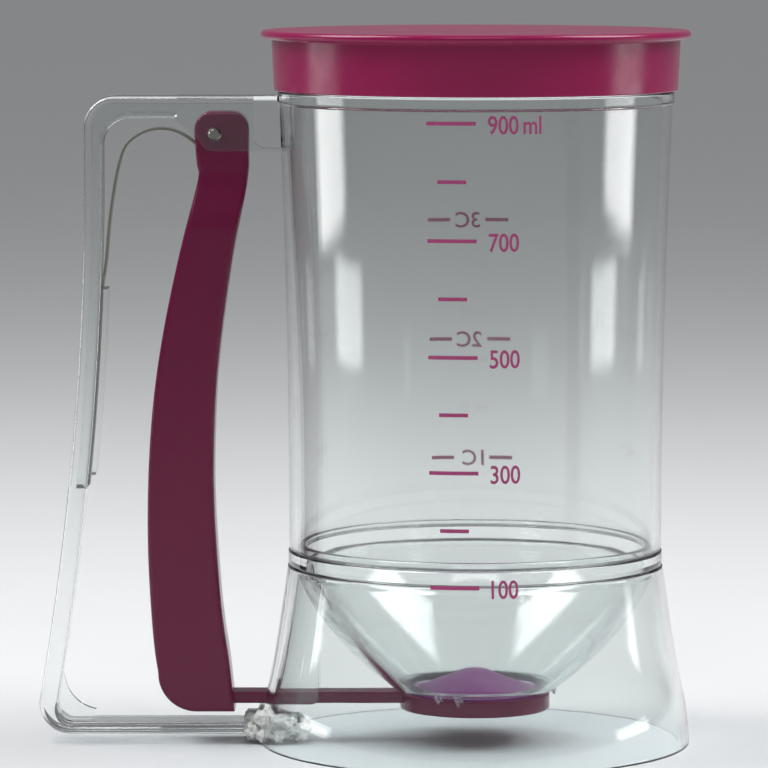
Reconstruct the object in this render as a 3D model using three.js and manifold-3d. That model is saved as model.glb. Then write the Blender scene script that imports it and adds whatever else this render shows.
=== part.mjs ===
// A squeeze-handled pancake batter dispenser, made of the separate pieces that the real one is assembled from.
// Millimetres, +Z up. The origin is on the floor, under the middle of the whole object with its handle.
import * as THREE from "three";
import { mergeVertices } from "three/addons/utils/BufferGeometryUtils.js";
import Module from "manifold-3d";

const wasm = await Module();
wasm.setup();

// Fits that all pieces share
const CLEARANCE = 0.3; // between faces that seat on each other
const OVERRUN = 3; // how far a cut runs past the face that it opens
const WELD = 0.0005; // points nearer than this are one point

// Facets
const FACETS = 64; // round the cup, funnel, skirt and lid
const SMALL_FACETS = 24; // round pins and holes
const CORNER_STEPS = 5;
const CURVE_STEPS = 8;

// Cup: the size that the funnel, skirt, lid and handle are fitted to
const CUP_FOOT_RADIUS = 48.1; // outside
const CUP_FLARE = 2.6; // how much wider the cup is at its shoulder
const CUP_HEIGHT = 118; // from the collar to the shoulder under the lid
const CUP_WALL = 2.3;
const BAND_HEIGHT = 3.2; // the thicker band under the lid
const BAND_PROUD = 0.35;
const NECK_STEP = 1.05; // how far the neck stands in from the shoulder's edge

// Skirt: the flared base
const SKIRT_PROUD = 0.4; // its top, past the cup's foot
const SKIRT_FLARE = 7.3; // how much wider it is on the floor
const SKIRT_HEIGHT = 46.5;
const SKIRT_WALL = 2.2;
const SKIRT_FLARE_SHARES = [[0, 0], [0.2, 0.13], [0.45, 0.46], [0.72, 0.74], [1, 1]]; // up, and inwards

// Funnel: the cup's floor
const COLLAR_HEIGHT = 3.6;
const COLLAR_PROUD = 0.25; // past the cup's foot
const SPIGOT_HEIGHT = 2; // of the rings that enter the cup and the skirt
const FUNNEL_WALL = 2.1;
const OUTLET_HEIGHT = 13.9; // floor to the lip that the valve closes
const OUTLET_RADIUS = 16.7; // the bore
const LIP_WIDTH = 4;
const BELLY_SHARES = [0.8, 0.49]; // the bowl's fullness, from its lip to its collar, outwards and up

// Lid
const LID_SKIRT_HEIGHT = 13.2; // the band that covers the neck
const LID_TAPER = 0.65; // how much wider that band is at its top
const LID_PROUD = 0.8; // its lower edge, past the cup's shoulder
const LID_PLATE = 2.2;
const FLANGE_WIDTH = 2.7; // past the band
const PLUG_DEPTH = 5; // the locating ring inside the neck
const PLUG_WALL = 1.4;

// Pivot
const PIVOT_GAP = 16.4; // the cup's shoulder to the pin
const PIVOT_DROP = 9.8; // the frame's top to the pin
const PIN_RADIUS = 1.5;
const PIN_INSET = 0.4; // the pin's ends, inside the ears' outer faces
const EAR_RADIUS = 4.3; // round the pin
const EAR_RUN = 10; // how far behind the pin the ear starts

// Handle frame
const HANDLE_DROP = 1.1; // the frame's top below the cup's shoulder
const HANDLE_LIFT = 2.5; // the frame's foot above the floor
const HANDLE_WIDTH = 13;
const HANDLE_ROUND = 0.9; // of the frame's long edges
const UPRIGHT_GAP = 33.5; // the pin to the upright's outer face
const FOOT_KICK = 12.4; // how much further out the foot reaches
const BEND_DROP = 17.6; // the frame's top to where the upright starts to lean out
const CORNER_RADIUS = 8; // outside, at both corners
const INNER_TOP_RADIUS = 7;
const INNER_FOOT_RADIUS = 4;
const TOP_DEPTH = 5.7; // the top bar's channel walls, from the outer face
const UPRIGHT_DEPTH = 4.8;
const FOOT_DEPTH = 3.2;
const CHANNEL_WALL = 1.9;
const SKIN = 2; // the channel's floor
const POCKET_RISE = 64; // the frame's foot to the closed end of the channel
const BRIDGE_RISE = 67.5; // the frame's foot to the bridge that holds the spring's tail
const BRIDGE_LENGTH = 48;
const BRIDGE_PROUD = 1.9; // past the channel's walls
const BRIDGE_WALL = 1.1;
const GUSSET_GAP = 1.2; // the lever's head to the frame's solid end at the cup
const GUSSET_DROP = 13.4; // its lower end, below the frame's top
const GUSSET_ROUND = 3;
const WEB_RISE = 12.3; // the thin web in the lower corner
const WEB_RUN = 10.6;
const WEB_TIP = 2.6; // the web's height at its inner end
const WEB_WALL = 2;
const PAD_RUN = 3.4; // the foot's pad, out from the skirt
const PAD_HEIGHT = 6.6;

// Leaf spring
const SPRING_THICKNESS = 0.7;
const SPRING_WIDTH = 5.4;
const SPRING_DEPTH = 4.95; // its tail, in from the upright's outer face
const SPRING_TAIL_GAP = 0.6; // the tail's end above the pocket's floor
const ARCH_DEPTH = 8.2; // its arch, in from the upright's outer face
const TIP_BACK = 4.8; // its tip, behind the pin
const TIP_DROP = 2.65; // and below it
const TIP_ANGLE = 40; // degrees above the arch's centre
const HEEL_ANGLE = 158;
const RELEASE_SHARES = [[0.1, 0.16], [0.3, 0.35], [0.6, 0.47]]; // from bridge to arch: up, and inwards

// Squeeze lever, measured from the pin
const TOE_LIFT = 2.8; // above the frame's foot bar
const LEVER_BULGE = 17.6; // the back edge's furthest point behind the pin
const HEAD_TOP = 5.8;
const HEAD_BACK = 5.1;
const HEAD_FRONT = 8.8;
const HEAD_BACK_RADIUS = 4.6;
const HEAD_FRONT_RADIUS = 4.6;
const BACK_SHARES = [
  [0.055, 0.26], [0.077, 0.233], [0.184, 0.472], [0.34, 0.756], [0.497, 0.938], [0.69, 1], [0.864, 0.925],
  [0.93, 0.85],
]; // the back edge, of the lever's length and of its bulge
const FRONT_SHARES = [
  [0.055, -0.5], [0.098, -0.455], [0.222, -0.25], [0.393, -0.055], [0.532, 0.012], [0.653, 0.005],
  [0.811, -0.085], [0.916, -0.205], [1, -0.28],
]; // the front edge, of the same
const TOE_RADIUS = 10;
const GRIP_WIDTH = 15;
const GRIP_ROUND = 1.5;
const SHOULDER_DROP = 9.5; // where the narrow head starts to widen
const SHOULDER_SLOPE = 6; // how far down it takes
const GRIP_WALL = 2.1;
const GRIP_WEB = 2.3; // the finger side
const GRIP_VOID_DROP = 17; // the hollow's upper end
const RIB_COUNT = 4;
const RIB_WALL = 1.6;
const RIB_SETBACK = 2.4; // of the ribs from the grip's back edge
const TOE_FLOOR = 1.4;
const NOTCH_DEPTH = 2.4; // the spring's notch in the head
const NOTCH_HEIGHT = 5.2;
const LEDGE_GAP = 0.5; // under the spring's tip, which the ledge nears as the lever turns
const NOTCH_SIDE = 0.4; // beside the spring

// Valve arm, disc and seal
const SEAL_OVERLAP = 0.9; // of the seal on the lip
const SEAL_SINK = 1; // the disc's recess
const SEAL_PROUD = 0.6;
const DOME_INSET = 0.8; // the dome's foot inside the bore
const DOME_HEIGHT = 5.8;
const DOME_SHARES = [[1, 0], [0.82, 0.25], [0.59, 0.5], [0.37, 0.74], [0.19, 0.93], [0, 1]]; // out and up
const DISC_RIM = 1.5; // round the seal's recess
const DISC_HEIGHT = 4.3;
const ARM_THICKNESS = 3;
const ARM_WIDTH = 8;
const ARM_DROP = 0.3; // the arm's top below the seal's face
const TONGUE_LENGTH = 8.5; // the arm's end inside the lever's toe

// The arm's way through the skirt
const WINDOW_SIDE = 0.8; // beside the arm
const WINDOW_BELOW = 3.9;
const WINDOW_ABOVE = 3.1;
const WINDOW_ROUND = 2.4;
const GUIDE_WALL = 2;
const GUIDE_DEPTH = 15.5; // of the guide plates, in from the skirt's base
const GUIDE_ROUND = 2;
const BOSS_DEPTH = 9.8; // of the boss behind the handle's foot, in from the skirt's base
const BOSS_LIFT = 0.8;

const clearPlastic = new THREE.MeshStandardMaterial({
  color: "#dfe6e6", roughness: 0.06, metalness: 0, transparent: true, opacity: 0.3,
});
const magentaPlastic = new THREE.MeshStandardMaterial({ color: "#87124a", roughness: 0.32, metalness: 0 });
const violetSilicone = new THREE.MeshStandardMaterial({ color: "#6f1d66", roughness: 0.5, metalness: 0 });
const springSteel = new THREE.MeshStandardMaterial({ color: "#8d8d86", roughness: 0.35, metalness: 1 });

// Heights above the floor that several pieces share
const collarLow = SKIRT_HEIGHT + CLEARANCE;
const collarHigh = collarLow + COLLAR_HEIGHT;
const cupLow = collarHigh + CLEARANCE;
const shoulder = cupLow + CUP_HEIGHT;
const lidSeat = shoulder + CLEARANCE;
const handleTop = shoulder - HANDLE_DROP;
const pivotHeight = handleTop - PIVOT_DROP;
const footTop = HANDLE_LIFT + FOOT_DEPTH;
const sealFace = OUTLET_HEIGHT - CLEARANCE;
const armHigh = sealFace - ARM_DROP;
const armLow = armHigh - ARM_THICKNESS;
const sillHeight = armLow - WINDOW_BELOW;

// Distances from the cup's axis that several pieces share
const shoulderRadius = CUP_FOOT_RADIUS + CUP_FLARE;
const bandRadius = shoulderRadius + BAND_PROUD;
const neckRadius = bandRadius - NECK_STEP;
const skirtTopRadius = CUP_FOOT_RADIUS + SKIRT_PROUD;
const baseRadius = skirtTopRadius + SKIRT_FLARE;
const pivotReach = shoulderRadius + PIVOT_GAP;
const uprightReach = pivotReach + UPRIGHT_GAP;
const sealRadius = OUTLET_RADIUS + SEAL_OVERLAP;
const recessRadius = sealRadius + CLEARANCE;

/** A closed body from a geometry, with its shared points merged and its collapsed facets left out. */
function solidOf(geometry) {
  const bare = geometry.clone();
  bare.deleteAttribute("normal");
  bare.deleteAttribute("uv");
  const merged = mergeVertices(bare, WELD);
  const corners = merged.index.array;
  const kept = [];
  for (let i = 0; i < corners.length; i += 3) {
    const [a, b, c] = corners.slice(i, i + 3);
    if (a !== b && b !== c && c !== a) kept.push(a, b, c);
  }
  return new wasm.Manifold(
    new wasm.Mesh({
      numProp: 3,
      vertProperties: merged.attributes.position.array,
      triVerts: new Uint32Array(kept),
    }),
  );
}

/** Twice the area that an outline goes round, positive when it runs anticlockwise. */
function windingOf(outline) {
  return outline.reduce((sum, [x, z], i) => {
    const [nextX, nextZ] = outline[(i + 1) % outline.length];
    return sum + x * nextZ - nextX * z;
  }, 0);
}

/** A section of [radius, height] points turned round the upright axis. */
function revolve(section, facets = FACETS) {
  const ordered = windingOf(section) > 0 ? section : [...section].reverse();
  const ring = [...ordered, ordered[0]].map(([r, z]) => new THREE.Vector2(r, z));
  return solidOf(new THREE.LatheGeometry(ring, facets).rotateX(Math.PI / 2));
}

/** A flat shape inside a closed outline. */
function shapeOf(outline) {
  return new THREE.Shape(outline.map(([across, up]) => new THREE.Vector2(across, up)));
}

/** A slab with an [x, z] outline, centred on the plane of the handle, its long edges rounded if asked. */
function slab(outline, width, round = 0) {
  const depth = width - 2 * round;
  const geometry = new THREE.ExtrudeGeometry(shapeOf(outline), {
    depth,
    bevelEnabled: round > 0,
    bevelThickness: round,
    bevelSize: round,
    bevelOffset: -round,
    bevelSegments: 2,
  });
  return solidOf(geometry.translate(0, 0, -depth / 2).rotateX(Math.PI / 2));
}

/** A bar with a [y, z] outline that runs along X. */
function bar(outline, fromX, toX) {
  const geometry = new THREE.ExtrudeGeometry(shapeOf(outline), { depth: toX - fromX, bevelEnabled: false });
  const turn = new THREE.Matrix4().makeBasis(
    new THREE.Vector3(0, 1, 0), new THREE.Vector3(0, 0, 1), new THREE.Vector3(1, 0, 0),
  );
  return solidOf(geometry.applyMatrix4(turn).translate(fromX, 0, 0));
}

/** A round rod across the handle's plane. */
function crossRod(x, z, radius, length) {
  return solidOf(new THREE.CylinderGeometry(radius, radius, length, SMALL_FACETS).translate(x, 0, z));
}

/** A rectangle's corners. */
function rectangle(left, low, right, high) {
  return [[left, low], [right, low], [right, high], [left, high]];
}

/** Points of an arc, with its angles in degrees. */
function arc(x, z, radius, from, to, steps = CORNER_STEPS) {
  return Array.from({ length: steps + 1 }, (_, i) => {
    const angle = THREE.MathUtils.degToRad(from + ((to - from) * i) / steps);
    return [x + radius * Math.cos(angle), z + radius * Math.sin(angle)];
  });
}

/** Points along a smooth curve through the given ones. */
function smooth(points, steps) {
  return new THREE.SplineCurve(points.map(([x, z]) => new THREE.Vector2(x, z)))
    .getPoints(steps)
    .map((p) => [p.x, p.y]);
}

/** Points along a curve, moved sideways to its left by a distance. */
function besideCurve(curve, distance, steps = CURVE_STEPS) {
  return Array.from({ length: steps + 1 }, (_, i) => {
    const point = curve.getPoint(i / steps);
    const way = curve.getTangent(i / steps);
    return [point.x - way.y * distance, point.y + way.x * distance];
  });
}

/** Where a line of points that runs down or up crosses a height. */
function crossingOf(line, height) {
  const i = line.findIndex(([, z], k) => k > 0 && (z - height) * (line[k - 1][1] - height) <= 0);
  const [[x0, z0], [x1, z1]] = [line[i - 1], line[i]];
  return x0 + ((x1 - x0) * (height - z0)) / (z1 - z0);
}

/** A named piece with its finish. */
function piece(name, solid, finish) {
  const { vertProperties, triVerts } = solid.getMesh();
  const geometry = new THREE.BufferGeometry();
  geometry.setAttribute("position", new THREE.BufferAttribute(vertProperties, 3));
  geometry.setIndex(new THREE.BufferAttribute(triVerts, 1));
  geometry.computeVertexNormals();
  const mesh = new THREE.Mesh(geometry, finish);
  mesh.name = name;
  return mesh;
}

// Outer faces that neighbours are fitted to

/** The skirt's outer face from the floor up, grown by a clearance. */
function skirtFace(grow) {
  const edge = baseRadius + grow;
  return smooth(
    SKIRT_FLARE_SHARES.map(([up, inward]) => [edge - SKIRT_FLARE * inward, SKIRT_HEIGHT * up]),
    CURVE_STEPS,
  );
}

/** The cup's outer radius at a share of its height. */
function cupRadius(share) {
  return CUP_FOOT_RADIUS + CUP_FLARE * share ** 2;
}

/** The cup's outer face from its foot to its shoulder, grown by a clearance. */
function cupFace(grow) {
  const bandLow = shoulder - BAND_HEIGHT - grow;
  const wall = Array.from({ length: CURVE_STEPS }, (_, i) => {
    const height = cupLow + ((bandLow - cupLow) * i) / (CURVE_STEPS - 1);
    return [cupRadius((height - cupLow) / CUP_HEIGHT) + grow, height];
  });
  const band = bandRadius + grow;
  return [...wall, [band, bandLow + BAND_PROUD], [band, shoulder]];
}

/** The bowl's outer face, from the lip up to the collar. */
function bowlCurve() {
  const lip = new THREE.Vector2(OUTLET_RADIUS + LIP_WIDTH, OUTLET_HEIGHT);
  const top = new THREE.Vector2(skirtTopRadius - SKIRT_WALL - CLEARANCE, collarLow - SPIGOT_HEIGHT);
  const belly = new THREE.Vector2(...BELLY_SHARES).multiply(top.clone().sub(lip)).add(lip);
  return new THREE.QuadraticBezierCurve(lip, belly, top);
}

// Clear cup, funnel and skirt

/** The cup's wall, band and neck. */
function makeCup() {
  const outer = cupFace(0);
  const bore = shoulderRadius - CUP_WALL;
  const rim = lidSeat + LID_SKIRT_HEIGHT - CLEARANCE;
  const inner = outer.slice(0, -2).map(([r, z]) => [r - CUP_WALL, z]);
  return revolve([
    ...outer,
    [neckRadius, shoulder],
    [neckRadius, rim],
    [bore, rim],
    [bore, shoulder],
    ...inner.reverse(),
  ]);
}

/** The bowl, its outlet lip, its collar, and the spigots that enter the cup and the skirt. */
function makeFunnel() {
  const outer = besideCurve(bowlCurve(), 0);
  const inner = besideCurve(bowlCurve(), FUNNEL_WALL);
  const collar = CUP_FOOT_RADIUS + COLLAR_PROUD;
  const spigot = CUP_FOOT_RADIUS - CUP_WALL - CLEARANCE;
  const bore = inner.at(-1)[0];
  return revolve([
    [OUTLET_RADIUS, OUTLET_HEIGHT],
    ...outer,
    [outer.at(-1)[0], collarLow],
    [collar, collarLow],
    [collar, collarHigh],
    [spigot, collarHigh],
    [spigot, collarHigh + SPIGOT_HEIGHT],
    [bore, collarHigh + SPIGOT_HEIGHT],
    ...inner.reverse(),
    [OUTLET_RADIUS, inner.at(-1)[1]],
  ]);
}

/** The space that the bowl and its spigot take, with a clearance round it. */
function bowlSpace() {
  const outer = besideCurve(bowlCurve(), -CLEARANCE);
  return revolve([[0, outer[0][1]], ...outer, [outer.at(-1)[0], collarHigh], [0, collarHigh]]);
}

/** The skirt's wall, with the arm's window, the guide plates and the boss behind the handle's foot. */
function makeSkirt() {
  const outer = skirtFace(0);
  const inner = outer.map(([r, z]) => [r - SKIRT_WALL, z]);
  const wall = revolve([...outer, ...inner.reverse()]);
  const filled = revolve([[0, 0], ...outer, [0, SKIRT_HEIGHT]]);

  const halfWindow = ARM_WIDTH / 2 + WINDOW_SIDE;
  const windowTop = armHigh + WINDOW_ABOVE;
  const guideEdge = GUIDE_DEPTH - baseRadius;
  const arch = [
    [-halfWindow, sillHeight],
    [halfWindow, sillHeight],
    ...arc(halfWindow - WINDOW_ROUND, windowTop - WINDOW_ROUND, WINDOW_ROUND, 0, 90),
    ...arc(WINDOW_ROUND - halfWindow, windowTop - WINDOW_ROUND, WINDOW_ROUND, 90, 180),
  ];
  const window = bar(arch, -baseRadius - OVERRUN, guideEdge);

  const guide = slab(
    [
      [-baseRadius, armLow],
      ...arc(guideEdge - GUIDE_ROUND, armLow + GUIDE_ROUND, GUIDE_ROUND, 270, 360),
      [guideEdge, SKIRT_HEIGHT],
      [-baseRadius, SKIRT_HEIGHT],
    ],
    GUIDE_WALL,
  );
  const guideSide = halfWindow + GUIDE_WALL / 2;
  const guides = guide.translate([0, guideSide, 0]).add(guide.translate([0, -guideSide, 0]));
  const boss = slab(rectangle(-baseRadius, BOSS_LIFT, BOSS_DEPTH - baseRadius, sillHeight), HANDLE_WIDTH);
  return wall.add(guides.add(boss).intersect(filled)).subtract(window).subtract(bowlSpace());
}

// Clear handle frame, with its channel, pocket, bridge, ears, gusset, web and pad

const bendHeight = handleTop - BEND_DROP;
const bendFall = bendHeight - HANDLE_LIFT - CORNER_RADIUS;
const bendRadius = (FOOT_KICK ** 2 + bendFall ** 2) / (2 * FOOT_KICK) - CORNER_RADIUS;
const bendCentre = -uprightReach - bendRadius;
const bridgeLow = HANDLE_LIFT + BRIDGE_RISE;
const bridgeHigh = bridgeLow + BRIDGE_LENGTH;

/** How far out a line along the upright lies at a height, for its depth in from the outer face. */
function uprightAt(height, depth) {
  const fall = Math.max(0, bendHeight - height);
  return bendCentre + Math.sqrt((bendRadius + depth) ** 2 - fall ** 2);
}

/** Points along the upright at one depth, from one height to another. */
function uprightLine(from, to, depth, steps = CURVE_STEPS) {
  return Array.from({ length: steps + 1 }, (_, i) => {
    const height = from + ((to - from) * i) / steps;
    return [uprightAt(height, depth), height];
  });
}

/** A line right along the frame, from the cup round to the skirt, at its depths in from the outer face. */
function frameLine(depths, topRound, footRound) {
  const top = handleTop - depths.top;
  const foot = HANDLE_LIFT + depths.foot;
  const elbow = foot + footRound;
  const elbowX = uprightAt(elbow, depths.side + footRound);
  const lean = THREE.MathUtils.radToDeg(Math.atan2(bendHeight - elbow, elbowX - bendCentre));
  const elbowArc = arc(elbowX, elbow, footRound, 180 - lean, 270);
  return [
    [0, top],
    ...arc(depths.side + topRound - uprightReach, top - topRound, topRound, 90, 180),
    ...uprightLine(Math.min(bendHeight, top - topRound - WELD), elbowArc[0][1], depths.side).slice(0, -1),
    ...elbowArc,
    [0, foot],
  ];
}

/** The two ears that hold the pin, in line with the channel's walls. */
function makeEars() {
  const earEnd = -pivotReach - EAR_RUN;
  const ear = slab(
    [
      [earEnd, handleTop - TOP_DEPTH],
      ...arc(-pivotReach, pivotHeight, EAR_RADIUS, 205, 270),
      [0, pivotHeight - EAR_RADIUS],
      [0, handleTop - SKIN],
      [earEnd, handleTop - SKIN],
    ],
    CHANNEL_WALL,
  );
  const side = (HANDLE_WIDTH - CHANNEL_WALL) / 2;
  return ear.translate([0, side, 0]).add(ear.translate([0, -side, 0]));
}

/** The bridge over the channel that holds the spring's tail. */
function makeBridge() {
  const face = UPRIGHT_DEPTH + BRIDGE_PROUD;
  const across = (outerDepth, innerDepth, width, past) =>
    slab(
      [
        ...uprightLine(bridgeLow - past, bridgeHigh + past, outerDepth, CORNER_STEPS),
        ...uprightLine(bridgeHigh + past, bridgeLow - past, innerDepth, CORNER_STEPS),
      ],
      width,
    );
  const whole = across(UPRIGHT_DEPTH - HANDLE_ROUND, face, HANDLE_WIDTH - 2 * HANDLE_ROUND, 0);
  const tunnel = across(0, face - BRIDGE_WALL, HANDLE_WIDTH - 2 * CHANNEL_WALL, OVERRUN);
  return whole.subtract(tunnel);
}

/** The frame's solid end at the cup, with its gusset. */
function makeGusset() {
  const near = HEAD_FRONT + GUSSET_GAP - pivotReach;
  const low = handleTop - GUSSET_DROP;
  const high = handleTop - HANDLE_ROUND;
  return slab(
    [
      [near, high],
      ...arc(near + GUSSET_ROUND, low + GUSSET_ROUND, GUSSET_ROUND, 180, 270),
      [0, low],
      [0, high],
    ],
    HANDLE_WIDTH - 2 * HANDLE_ROUND,
  );
}

/** The thin web that stiffens the frame's lower corner. */
function makeWeb() {
  const cornerX = uprightAt(footTop, UPRIGHT_DEPTH);
  const high = footTop + WEB_RISE;
  const tip = new THREE.Vector2(cornerX + WEB_RUN, footTop + WEB_TIP);
  const root = new THREE.Vector2(uprightAt(high, UPRIGHT_DEPTH), high);
  const belly = new THREE.Vector2(cornerX + WEB_RUN / 3, footTop + WEB_RISE / 3);
  return slab(
    [
      ...besideCurve(new THREE.QuadraticBezierCurve(root, belly, tip), 0),
      [tip.x - WEB_TIP / 2, footTop - FOOT_DEPTH / 2],
      [cornerX, footTop - FOOT_DEPTH / 2],
      [uprightAt(high, UPRIGHT_DEPTH / 2), high],
    ],
    WEB_WALL,
  );
}

/** The channel's hollow, from the gusset round to the pocket's floor. */
function channelSpace() {
  const floor = HANDLE_LIFT + POCKET_RISE;
  const roof = handleTop - SKIN;
  const mouth = handleTop - TOP_DEPTH - OVERRUN;
  const end = HEAD_FRONT + GUSSET_GAP - pivotReach;
  const past = UPRIGHT_DEPTH + OVERRUN;
  const round = CORNER_RADIUS - SKIN;
  const skinLine = frameLine({ top: SKIN, side: SKIN, foot: SKIN }, round, round);
  return slab(
    [
      [end, roof],
      ...skinLine.slice(1).filter(([, z]) => z > floor),
      [uprightAt(floor, SKIN), floor],
      [uprightAt(floor, past), floor],
      [uprightAt(bendHeight, past), bendHeight],
      [uprightAt(bendHeight, past + INNER_TOP_RADIUS), mouth],
      [end, mouth],
    ],
    HANDLE_WIDTH - 2 * CHANNEL_WALL,
  );
}

/** The whole clear frame. */
function makeHandleFrame() {
  const outline = [
    ...frameLine({ top: 0, side: 0, foot: 0 }, CORNER_RADIUS, CORNER_RADIUS),
    ...frameLine(
      { top: TOP_DEPTH, side: UPRIGHT_DEPTH, foot: FOOT_DEPTH }, INNER_TOP_RADIUS, INNER_FOOT_RADIUS,
    ).reverse(),
  ];
  const padLow = HANDLE_LIFT + FOOT_DEPTH / 2 - PAD_HEIGHT / 2;
  const pad = slab(rectangle(-baseRadius - PAD_RUN, padLow, 0, padLow + PAD_HEIGHT), HANDLE_WIDTH);
  const bodySpace = revolve([[0, 0], ...skirtFace(CLEARANCE), ...cupFace(CLEARANCE), [0, shoulder]]);
  return slab(outline, HANDLE_WIDTH, HANDLE_ROUND)
    .subtract(channelSpace())
    .add(makeBridge())
    .add(makeEars())
    .add(makeGusset())
    .add(makeWeb())
    .add(pad)
    .subtract(crossRod(-pivotReach, pivotHeight, PIN_RADIUS + CLEARANCE, HANDLE_WIDTH + OVERRUN))
    .subtract(bodySpace);
}

// Steel spring and pin

/** The leaf spring, from its tail in the pocket, up behind the bridge and over to the lever's notch. */
function makeSpring() {
  const tipAngle = THREE.MathUtils.degToRad(TIP_ANGLE);
  const tipX = -pivotReach - TIP_BACK;
  const archLeft = ARCH_DEPTH - uprightReach;
  const archRadius = (tipX - archLeft) / (1 + Math.cos(tipAngle));
  const archHeight = pivotHeight - TIP_DROP - archRadius * Math.sin(tipAngle);
  const tail = HANDLE_LIFT + POCKET_RISE + SPRING_TAIL_GAP;
  const release = RELEASE_SHARES.map(([up, inward]) => {
    const height = bridgeHigh + up * (archHeight - bridgeHigh);
    return [uprightAt(height, SPRING_DEPTH + inward * (ARCH_DEPTH - SPRING_DEPTH)), height];
  });
  const line = [
    ...uprightLine(tail, bridgeHigh, SPRING_DEPTH, CORNER_STEPS),
    ...release,
    ...arc(archLeft + archRadius, archHeight, archRadius, HEEL_ANGLE, TIP_ANGLE),
  ];
  const path = new THREE.SplineCurve(line.map(([x, z]) => new THREE.Vector2(x, z)));
  const steps = 4 * CURVE_STEPS;
  const half = SPRING_THICKNESS / 2;
  const edge = [...besideCurve(path, half, steps), ...besideCurve(path, -half, steps).reverse()];
  return slab(edge, SPRING_WIDTH);
}

/** The pin through the ears and the lever's head. */
function makePin() {
  return crossRod(-pivotReach, pivotHeight, PIN_RADIUS, HANDLE_WIDTH - 2 * PIN_INSET);
}

// Magenta lever, arm and disc, and the seal, measured from the pin

const leverLength = pivotHeight - footTop - TOE_LIFT;

/** An edge of the lever from its shares of length and bulge, running down. */
function leverEdge(shares) {
  return shares.map(([down, back]) => [-LEVER_BULGE * back, -leverLength * down]);
}

const backEdge = smooth([[-HEAD_BACK, 0], ...leverEdge(BACK_SHARES)], 3 * CURVE_STEPS);
const frontEdge = smooth(leverEdge(FRONT_SHARES), 2 * CURVE_STEPS);
const toeFront = frontEdge.at(-1)[0];

/** The lever's side outline: its round head, its long curved grip and its toe. */
function leverOutline() {
  const toeBack = backEdge.at(-1)[0] + TOE_RADIUS;
  return [
    ...arc(HEAD_BACK_RADIUS - HEAD_BACK, HEAD_TOP - HEAD_BACK_RADIUS, HEAD_BACK_RADIUS, 180, 90),
    ...arc(HEAD_FRONT - HEAD_FRONT_RADIUS, HEAD_TOP - HEAD_FRONT_RADIUS, HEAD_FRONT_RADIUS, 90, 0),
    ...frontEdge,
    ...arc(toeBack, TOE_RADIUS - leverLength, TOE_RADIUS, 270, 190),
    ...[...backEdge].reverse(),
  ];
}

/** The grip's hollow, open at the back, with its cross ribs left standing. */
function gripHollow() {
  const low = TOE_FLOOR - leverLength;
  const web = frontEdge
    .filter(([, z]) => z < -GRIP_VOID_DROP && z > low)
    .map(([x, z]) => [x - GRIP_WEB, z]);
  const behind = -LEVER_BULGE - OVERRUN;
  const hollow = slab(
    [
      [crossingOf(frontEdge, -GRIP_VOID_DROP) - GRIP_WEB, -GRIP_VOID_DROP],
      ...web,
      [crossingOf(frontEdge, low) - GRIP_WEB, low],
      [behind, low],
      [behind, -GRIP_VOID_DROP],
    ],
    GRIP_WIDTH - 2 * GRIP_WALL,
  );
  const pitch = (-GRIP_VOID_DROP - low) / (RIB_COUNT + 1);
  return Array.from({ length: RIB_COUNT }, (_, i) => low + pitch * (i + 1)).reduce((left, height) => {
    const front = crossingOf(frontEdge, height);
    const back = crossingOf(backEdge, height) + RIB_SETBACK;
    return left.subtract(slab(rectangle(back, height, front, height + RIB_WALL), GRIP_WIDTH));
  }, hollow);
}

/** The squeeze lever. */
function makeLever() {
  const headWidth = HANDLE_WIDTH - 2 * CHANNEL_WALL - 2 * CLEARANCE;
  const halfHead = headWidth / 2;
  const halfGrip = GRIP_WIDTH / 2;
  const ledgeDrop = TIP_DROP + SPRING_THICKNESS / 2 + LEDGE_GAP;
  const tongueLow = armLow - CLEARANCE - pivotHeight;
  const tongueHigh = armHigh + CLEARANCE - pivotHeight;
  const widen = bar(
    [
      [-halfHead, -SHOULDER_DROP],
      [-halfGrip, -SHOULDER_DROP - SHOULDER_SLOPE],
      [-halfGrip, -leverLength - OVERRUN],
      [halfGrip, -leverLength - OVERRUN],
      [halfGrip, -SHOULDER_DROP - SHOULDER_SLOPE],
      [halfHead, -SHOULDER_DROP],
    ],
    -LEVER_BULGE - OVERRUN,
    LEVER_BULGE,
  );
  const grip = slab(leverOutline(), GRIP_WIDTH, GRIP_ROUND).intersect(widen);
  const notch = slab(
    rectangle(-HEAD_BACK - OVERRUN, -ledgeDrop, NOTCH_DEPTH - HEAD_BACK, NOTCH_HEIGHT - ledgeDrop),
    SPRING_WIDTH + 2 * NOTCH_SIDE,
  );
  const socket = slab(
    rectangle(toeFront - TONGUE_LENGTH, tongueLow, toeFront + OVERRUN, tongueHigh),
    ARM_WIDTH + 2 * CLEARANCE,
  );
  return slab(leverOutline(), headWidth)
    .add(grip)
    .subtract(gripHollow())
    .subtract(notch)
    .subtract(socket)
    .subtract(crossRod(0, 0, PIN_RADIUS + CLEARANCE, GRIP_WIDTH));
}

const discTop = sealFace - SEAL_PROUD - pivotHeight;

/** The arm from the lever's toe to the valve disc under the outlet, with the recess for the seal. */
function makeValveArm() {
  const low = armLow - pivotHeight;
  const tongueEnd = toeFront - TONGUE_LENGTH + CLEARANCE;
  const arm = slab(rectangle(tongueEnd, low, pivotReach, low + ARM_THICKNESS), ARM_WIDTH);
  const discRadius = recessRadius + DISC_RIM;
  const discLow = discTop - DISC_HEIGHT;
  const disc = revolve([[0, discLow], [discRadius, discLow], [discRadius, discTop], [0, discTop]]);
  const recess = revolve([
    [0, discTop - SEAL_SINK],
    [recessRadius, discTop - SEAL_SINK],
    [recessRadius, discTop + OVERRUN],
    [0, discTop + OVERRUN],
  ]);
  return arm.add(disc.translate([pivotReach, 0, 0])).subtract(recess.translate([pivotReach, 0, 0]));
}

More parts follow.
